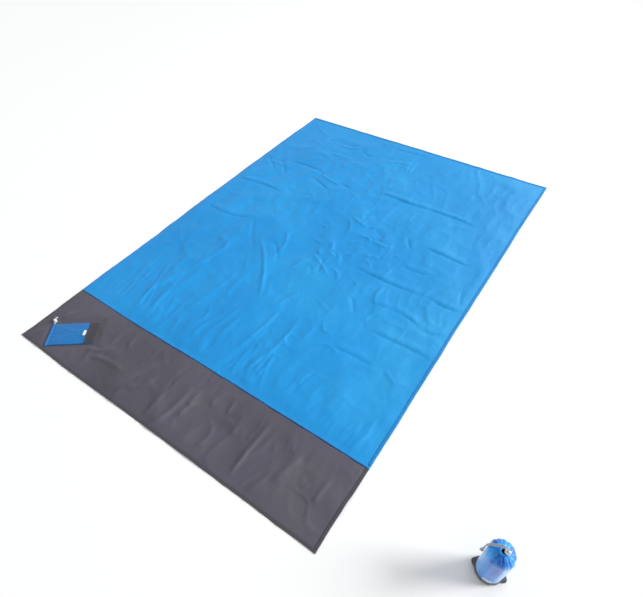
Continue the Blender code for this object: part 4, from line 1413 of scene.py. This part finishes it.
def bag_body():
    profile = bag_profile()
    slope = np.gradient(profile, axis=0)
    slope /= np.linalg.norm(slope, axis=1)[:, None]
    normals = np.stack([slope[:, 1], -slope[:, 0]], axis=-1)
    theta = round_angles(BAG_AROUND)
    outer, inner = [], []
    for (radius, z), normal in zip(profile, normals):
        outer.append(bag_point(theta, radius, z, 0.0, normal))
        inner.append(bag_point(theta, radius, z, -0.0005, normal))
    return closed_rings("bag_body_cloth", outer + inner[::-1], BAG_BLUE)


# The stretched noise and the ramp that starts from the lightest blue paint upright streaks on the bag:
# painted satin highlights and shade.
BAG_BLUE = cloth_finish("bag_blue_satin_nylon", "46B0F8", "2288E0", "0C50B4",
                        offset=0.45, roughness=0.34, sheen=0.45, crinkle=0.00012, pitch=0.0004, spread=1.5,
                        stretch=(13, 13, 1.3))
bag_shell = bag_body()
print("bag body", len(bag_shell.data.polygons), "faces")

# %% [markdown]
# ## The bag's grey base
#
# The bottom of a flat-sewn bag pulls into two pinched corners when it is filled, and they stick out
# past its sides like ears. The base is lofted from rings: round at its top, with the ears growing at
# the bottom. Its lower edge waves, because the seam there is longer than the round it is pushed into.

# %% Loft the base
EAR_REACH = 0.0098


def base_ring(share, theta, inset=0.0):
    """share is 0 at the base's top and 1 at its foot."""
    level = BASE_TOP * (1 - share) + 0.0010 * share
    ear = fade(share, 0.28, 0.66) * (1 - 0.30 * fade(share, 0.80, 1.0))
    width = np.abs(np.cos(theta))
    tip = width ** 22
    folds = 0.0007 * np.cos(11 * theta + 2 * share) * fade(share, 0.05, 0.5)
    folds = folds + 0.0013 * bag_noise(theta * 7 / math.pi + 60, share * 3.0) * share
    swell = 0.0010 * math.sin(math.pi * min(1.0, share * 1.1)) + 0.0030 * share * width ** 3
    tuck = 0.0030 * fade(share, 0.78, 1.0)
    reach = BAG_RADIUS + swell - tuck - inset + folds + EAR_REACH * ear * tip
    z = level + 0.0042 * ear * tip + 0.0011 * share * np.sin(5 * theta + 0.8) ** 2
    return round_bag(theta, reach, z)


def bag_foot():
    theta = round_angles(BAG_AROUND)
    edge_wave = 0.0005 * np.cos(4 * theta + 0.5)
    rings = []
    for step in range(27):
        share = step / 26
        ring = base_ring(share, theta)
        ring[:, 2] += edge_wave * (1 - share)
        rings.append(ring)
    for scale in (0.94, 0.80, 0.55, 0.25):
        ring = base_ring(1.0, theta)
        ring[:, :2] = (ring[:, :2] - (BAG_X, BAG_Y)) * scale + (BAG_X, BAG_Y)
        ring[:, 2] = 0.0006 + (ring[:, 2] - 0.0006) * max(0.0, (scale - 0.6) / 0.4)
        rings.append(ring)
    vertices = np.vstack([np.concatenate(rings), (BAG_X, BAG_Y, 0.0006)])
    faces = grid_faces(BAG_AROUND, len(rings), wrap=True)
    last, centre = (len(rings) - 1) * BAG_AROUND, len(vertices) - 1
    faces += [(last + s, last + (s + 1) % BAG_AROUND, centre) for s in range(BAG_AROUND)]
    obj = new_object("bag_base_cloth", vertices, faces, BASE_GREY)
    bm = bmesh.new()
    bm.from_mesh(obj.data)
    bmesh.ops.recalc_face_normals(bm, faces=bm.faces)
    inside = Vector((BAG_X, BAG_Y, 0.01))
    if sum(face.normal.dot(face.calc_center_median() - inside) for face in bm.faces) < 0:
        bmesh.ops.reverse_faces(bm, faces=bm.faces)
    bm.to_mesh(obj.data)
    bm.free()
    thicken(obj, 0.0004)
    obj.data.shade_smooth()
    return obj


BASE_GREY = cloth_finish("bag_base_nylon", "3B3A42", "4B4A53", "6A6872",
                         offset=0.5, roughness=0.46, sheen=0.1, crinkle=0.00015, pitch=0.0004, spread=0.5)
bag_base = bag_foot()


def bag_under_seam():
    """The bottom seam: a sewn edge from ear to ear under the base."""
    reach = BAG_RADIUS + EAR_REACH * 0.8
    steps = np.linspace(-reach, reach, 61)
    rows = []
    for place, level in STRIP_SECTION:
        wave = 0.0006 * np.sin(steps * 260)
        z = 0.0001 + level * 0.0010 + 0.0030 * fade(np.abs(steps), BAG_RADIUS - 0.004, reach)
        rows.append(as_points(BAG_X + steps, BAG_Y + (place - 0.5) * 0.004 + wave, z))
    return closed_bar("bag_bottom_edge", rows, GREY_HEM)


bag_bottom = bag_under_seam()
print("bag base", len(bag_base.data.polygons), "faces")

# %% [markdown]
# ## Gather, side seam, label and the roll inside
#
# Round the mouth the channel's cloth is drawn up into a ruffle, a small ring with lobes. The side seam
# runs up the bag's back. The label is the same satin patch as on the pouch, wrapped on the folds of
# the front. Inside, the folded blanket is a spiral of layers, seen only down the mouth.

# %% Small bag pieces
def bag_gather():
    around, section = 168, 14
    theta = round_angles(around)
    warped = theta + 0.14 * np.sin(2 * theta + 1.1)
    lobe = np.abs(np.cos(warped * 6.5)) ** 0.8
    centre = 0.0080 + 0.0004 * lobe
    rings = []
    for step in range(section):
        turn = math.tau * step / section
        out = 0.0029 + 0.0013 * lobe * (math.cos(turn) > -0.3)
        tall = 0.0030 + 0.0010 * lobe * max(0.0, math.sin(turn))
        radius = centre + out * math.cos(turn)
        z = NECK_HEIGHT + 0.0026 + tall * math.sin(turn)
        rings.append(round_bag(theta, radius, z + 0.0003 * np.sin(warped * 13)))
    return closed_rings("bag_gathered_mouth", rings, BAG_BLUE)


def bag_back_seam():
    heights = np.linspace(BASE_TOP + 0.001, NECK_HEIGHT - SHOULDER_HEIGHT, 60)
    rows = []
    for place, level in STRIP_SECTION:
        sway = 0.004 * bag_noise(heights * 90, 0.0)
        theta = math.pi / 2 + (place - 0.5) * 0.0050 / BAG_RADIUS + sway
        rows.append(bag_point(theta, BAG_RADIUS, heights, level * 0.0009 - 0.0001))
    return closed_bar("bag_side_edge", rows, BAG_BLUE)


def on_bag_front(across, up, lift):
    theta = -math.pi / 2 + (0.003 + across) / BAG_RADIUS
    return bag_point(theta, BAG_RADIUS, 0.0325 + up, lift + 0.0001)


def rolled_blanket():
    turns, inner, outer = 3.7, 0.0075, 0.0284
    count = 180
    share = np.linspace(0, 1, count)
    angle = share * turns * math.tau
    radius = inner + (outer - inner) * share
    levels = np.linspace(0.008, 0.146, 5)
    rows = []
    for z in levels:
        reach = radius + 0.0008 * bag_noise(share * 30, z * 100)
        rows.append(round_bag(angle, reach, z + 0.0012 * bag_noise(share * 22 + 9, 5.0)))
    obj = new_object("rolled_blanket", np.concatenate(rows), grid_faces(count, len(levels)), BLUE_CLOTH)
    thicken(obj, 0.0042, offset=0.0)
    return outward(obj)


bag_mouth = bag_gather()
bag_side = bag_back_seam()
bag_label = label_patch("bag_label_patch", on_bag_front)
bag_roll = rolled_blanket()


def printed_bars():
    """Five plain grey bars in place of the words that such a label carries."""
    vertices, faces = [], []
    for number, long in enumerate((0.0016, 0.0024, 0.0030, 0.0018, 0.0026)):
        middle = (-0.0074, -0.0044, -0.0006, 0.0032, 0.0066)[number]
        for row in range(2):
            for column in range(6):
                across, up = middle + long * (column / 5 - 0.5), 0.0030 * (row - 0.5) + 0.0002
                vertices.append(on_bag_front(across, up, LABEL_WALL + 0.00004))
        first = number * 12
        faces += [(first + c, first + c + 1, first + 7 + c, first + 6 + c) for c in range(5)]
    obj = new_object("bag_label_print", vertices, faces, PRINT_GREY, smooth=False)
    thicken(obj, 0.00006, offset=1.0)
    return obj


PRINT_GREY = grained_finish("label_print", "8A949C", "9CA6AE", 0.6, 800.0, 0.00001)
bag_print = printed_bars()
base_line = np.arange(0, math.tau + 0.01, math.tau / 200)
bag_stitches = sew("bag_stitches", [
    bag_point(base_line, BAG_RADIUS, BASE_TOP + 0.0022, 0.0001),
], BLUE_THREAD, pitch=0.0027, length=0.0019, width=0.0005)
print("bag pieces made")

# %% [markdown]
# ## The bag's cord
#
# Each strand is one smooth path: straight up through the lock, over in a loop about seven diameters
# wide, and down the side under its own weight to the knot. The pair starts side by side one way and
# hangs almost side by side the other, so it makes nearly a quarter turn on its way down.

# %% Strands, ring and knot of the bag's cord
PAIR_ROUTE = (
    (0.0080, 0.1808, 90), (0.0080, 0.1830, 90), (0.0080, 0.1950, 90), (0.0079, 0.1975, 90),
    (0.0058, 0.2024, 90), (0.0005, 0.2044, 90), (-0.0065, 0.2022, 90), (-0.0140, 0.1950, 90),
    (-0.0225, 0.1845, 90), (-0.0310, 0.1712, 90), (-0.0372, 0.1550, 84), (-0.0388, 0.1410, 60),
    (-0.0392, 0.1280, 35), (-0.0393, 0.1128, 20),
)
RING_LEVEL = 0.1779


def bag_strand(side):
    route = []
    for x, z, turn in PAIR_ROUTE:
        angle = math.radians(turn)
        route.append((BAG_X + x + side * STRAND_OFFSET * math.cos(angle),
                      BAG_Y + side * STRAND_OFFSET * math.sin(angle), z))
    return smooth_path(route, 0.0018)


ring_angles = [math.radians(a) for a in (26, *range(50, 311, 26), 334)]
ring_path = smooth_path([(BAG_X + 0.0080 * math.cos(a), BAG_Y + 0.0080 * math.sin(a), RING_LEVEL)
                         for a in ring_angles], 0.0015)
bag_paths = {name: bag_strand(side) for name, side in (("front", -1), ("back", 1))}
bag_strands = {name: swept_cord("bag_strand_" + name, path) for name, path in bag_paths.items()}
bag_ring = swept_cord("bag_cord_in_channel", ring_path, start=(0, 0, 1))
bag_knot = tied_knot("bag_cord_knot", middle_of("drawstring_knot"), (0.0100, 0.0082, 0.0080),
                     (0, 0, 1), (1, 0, 0))
print("bag strand", round(path_length(bag_paths["front"]), 4), "m")

# %% [markdown]
# ## Locks
#
# The locks' barrels and buttons are the frame's own solids, because they have their true shapes
# there. They only need a real finish, off-white moulded plastic.

# %% Give the lock pieces their finishes
def refinish(name, material):
    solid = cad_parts[name]
    if not solid.material_slots:
        solid.data.materials.append(material)
    for slot in solid.material_slots:
        slot.material = material


for bag_or_pouch in ("bag", "pouch"):
    refinish(bag_or_pouch + "_lock_barrel", LOCK_PLASTIC)
    refinish(bag_or_pouch + "_lock_button", LOCK_PLASTIC)

# %% [markdown]
# A spring shortens when its button is pressed, which a solid can't do. So each spring is a coil of its
# own, wound in the space of the solid one.

# %% Wind the springs
SPRING_WIRE, SPRING_RADIUS, SPRING_TURNS = 0.0005, 0.0030, 3


def lock_spring(name, cad_node, press):
    """A coil along `press`, the way the button moves; returns it and its held end."""
    low, high = (Vector(corner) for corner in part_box(cad_node))
    middle, press = (low + high) / 2, Vector(press)
    room = abs((high - low).dot(press))
    across = press.orthogonal().normalized()
    other = press.cross(across)
    coil = []
    for step in range(SPRING_TURNS * 20 + 1):
        angle = math.tau * step / 20
        along = (step / (SPRING_TURNS * 20) - 0.5) * (room - SPRING_WIRE)
        out = (across * math.cos(angle) + other * math.sin(angle)) * SPRING_RADIUS
        coil.append(tuple(middle + press * along + out))
    spring = swept_cord(name, coil, SPRING_WIRE, SPRING_STEEL, sides=8, start=tuple(press))
    print(name, "room", round(room * 1000, 2), "mm")
    return spring, tuple(middle + press * room / 2)


bag_spring, bag_spring_floor = lock_spring("bag_spring_coil", "bag_lock_spring", (1, 0, 0))
pouch_spring, pouch_spring_floor = lock_spring("pouch_spring_coil", "pouch_lock_spring", (0, 0, -1))

# %% [markdown]
# ## What rides on what
#
# Each piece that rides is parented to an empty named after its body. The band folds over the blanket
# along the cross seam, but its cloth, side hems and stitches are only baked in place here, with no body.

for piece in (main_cloth, strips["head_hem"], strips["left_hem"], strips["right_hem"], strips["join_seam"],
              painted_seam_shadow_line, blanket_stitches, seam_stitches):
    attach(piece, "blanket")
for piece in (band_cloth, strips["band_left_hem"], strips["band_right_hem"], band_stitches):
    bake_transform(piece)
for piece in (strips["foot_hem"], pouch_front, pouch_back, pouch_end, pouch_bottom, pouch_side,
              pouch_channel, pouch_label, pouch_stitches, pouch_knot, *pouch_strands.values()):
    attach(piece, "band")
for piece in (bag_shell, bag_base, bag_bottom, bag_mouth, bag_side, bag_label, bag_print, bag_roll,
              bag_stitches, bag_ring, bag_knot, *bag_strands.values()):
    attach(piece, "bag")

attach(bag_spring, "bag_lock")
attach(pouch_spring, "pouch_lock")
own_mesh(bag_spring)
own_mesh(pouch_spring)

STANDS_FOR = {
    "main_panel": main_cloth, "bag_lock_spring": bag_spring, "pouch_lock_spring": pouch_spring,
    "end_band": band_cloth, **strips, "pouch_front": pouch_front, "pouch_back": pouch_back,
    "pouch_base": pouch_end, "pouch_bottom_seam": pouch_bottom, "pouch_side_seam": pouch_side,
    "pouch_channel": pouch_channel, "pouch_label": pouch_label, "pouch_knot": pouch_knot,
    "pouch_cord": pouch_strands["near"], "bag_shell": bag_shell, "bag_base": bag_base,
    "bag_bottom_seam": bag_bottom, "bag_side_seam": bag_side, "bag_channel": bag_mouth,
    "bag_label": bag_label, "packed_roll": bag_roll, "drawstring": bag_strands["front"],
    "drawstring_knot": bag_knot,
}
for cad_node, piece in STANDS_FOR.items():
    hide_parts(cad_node)
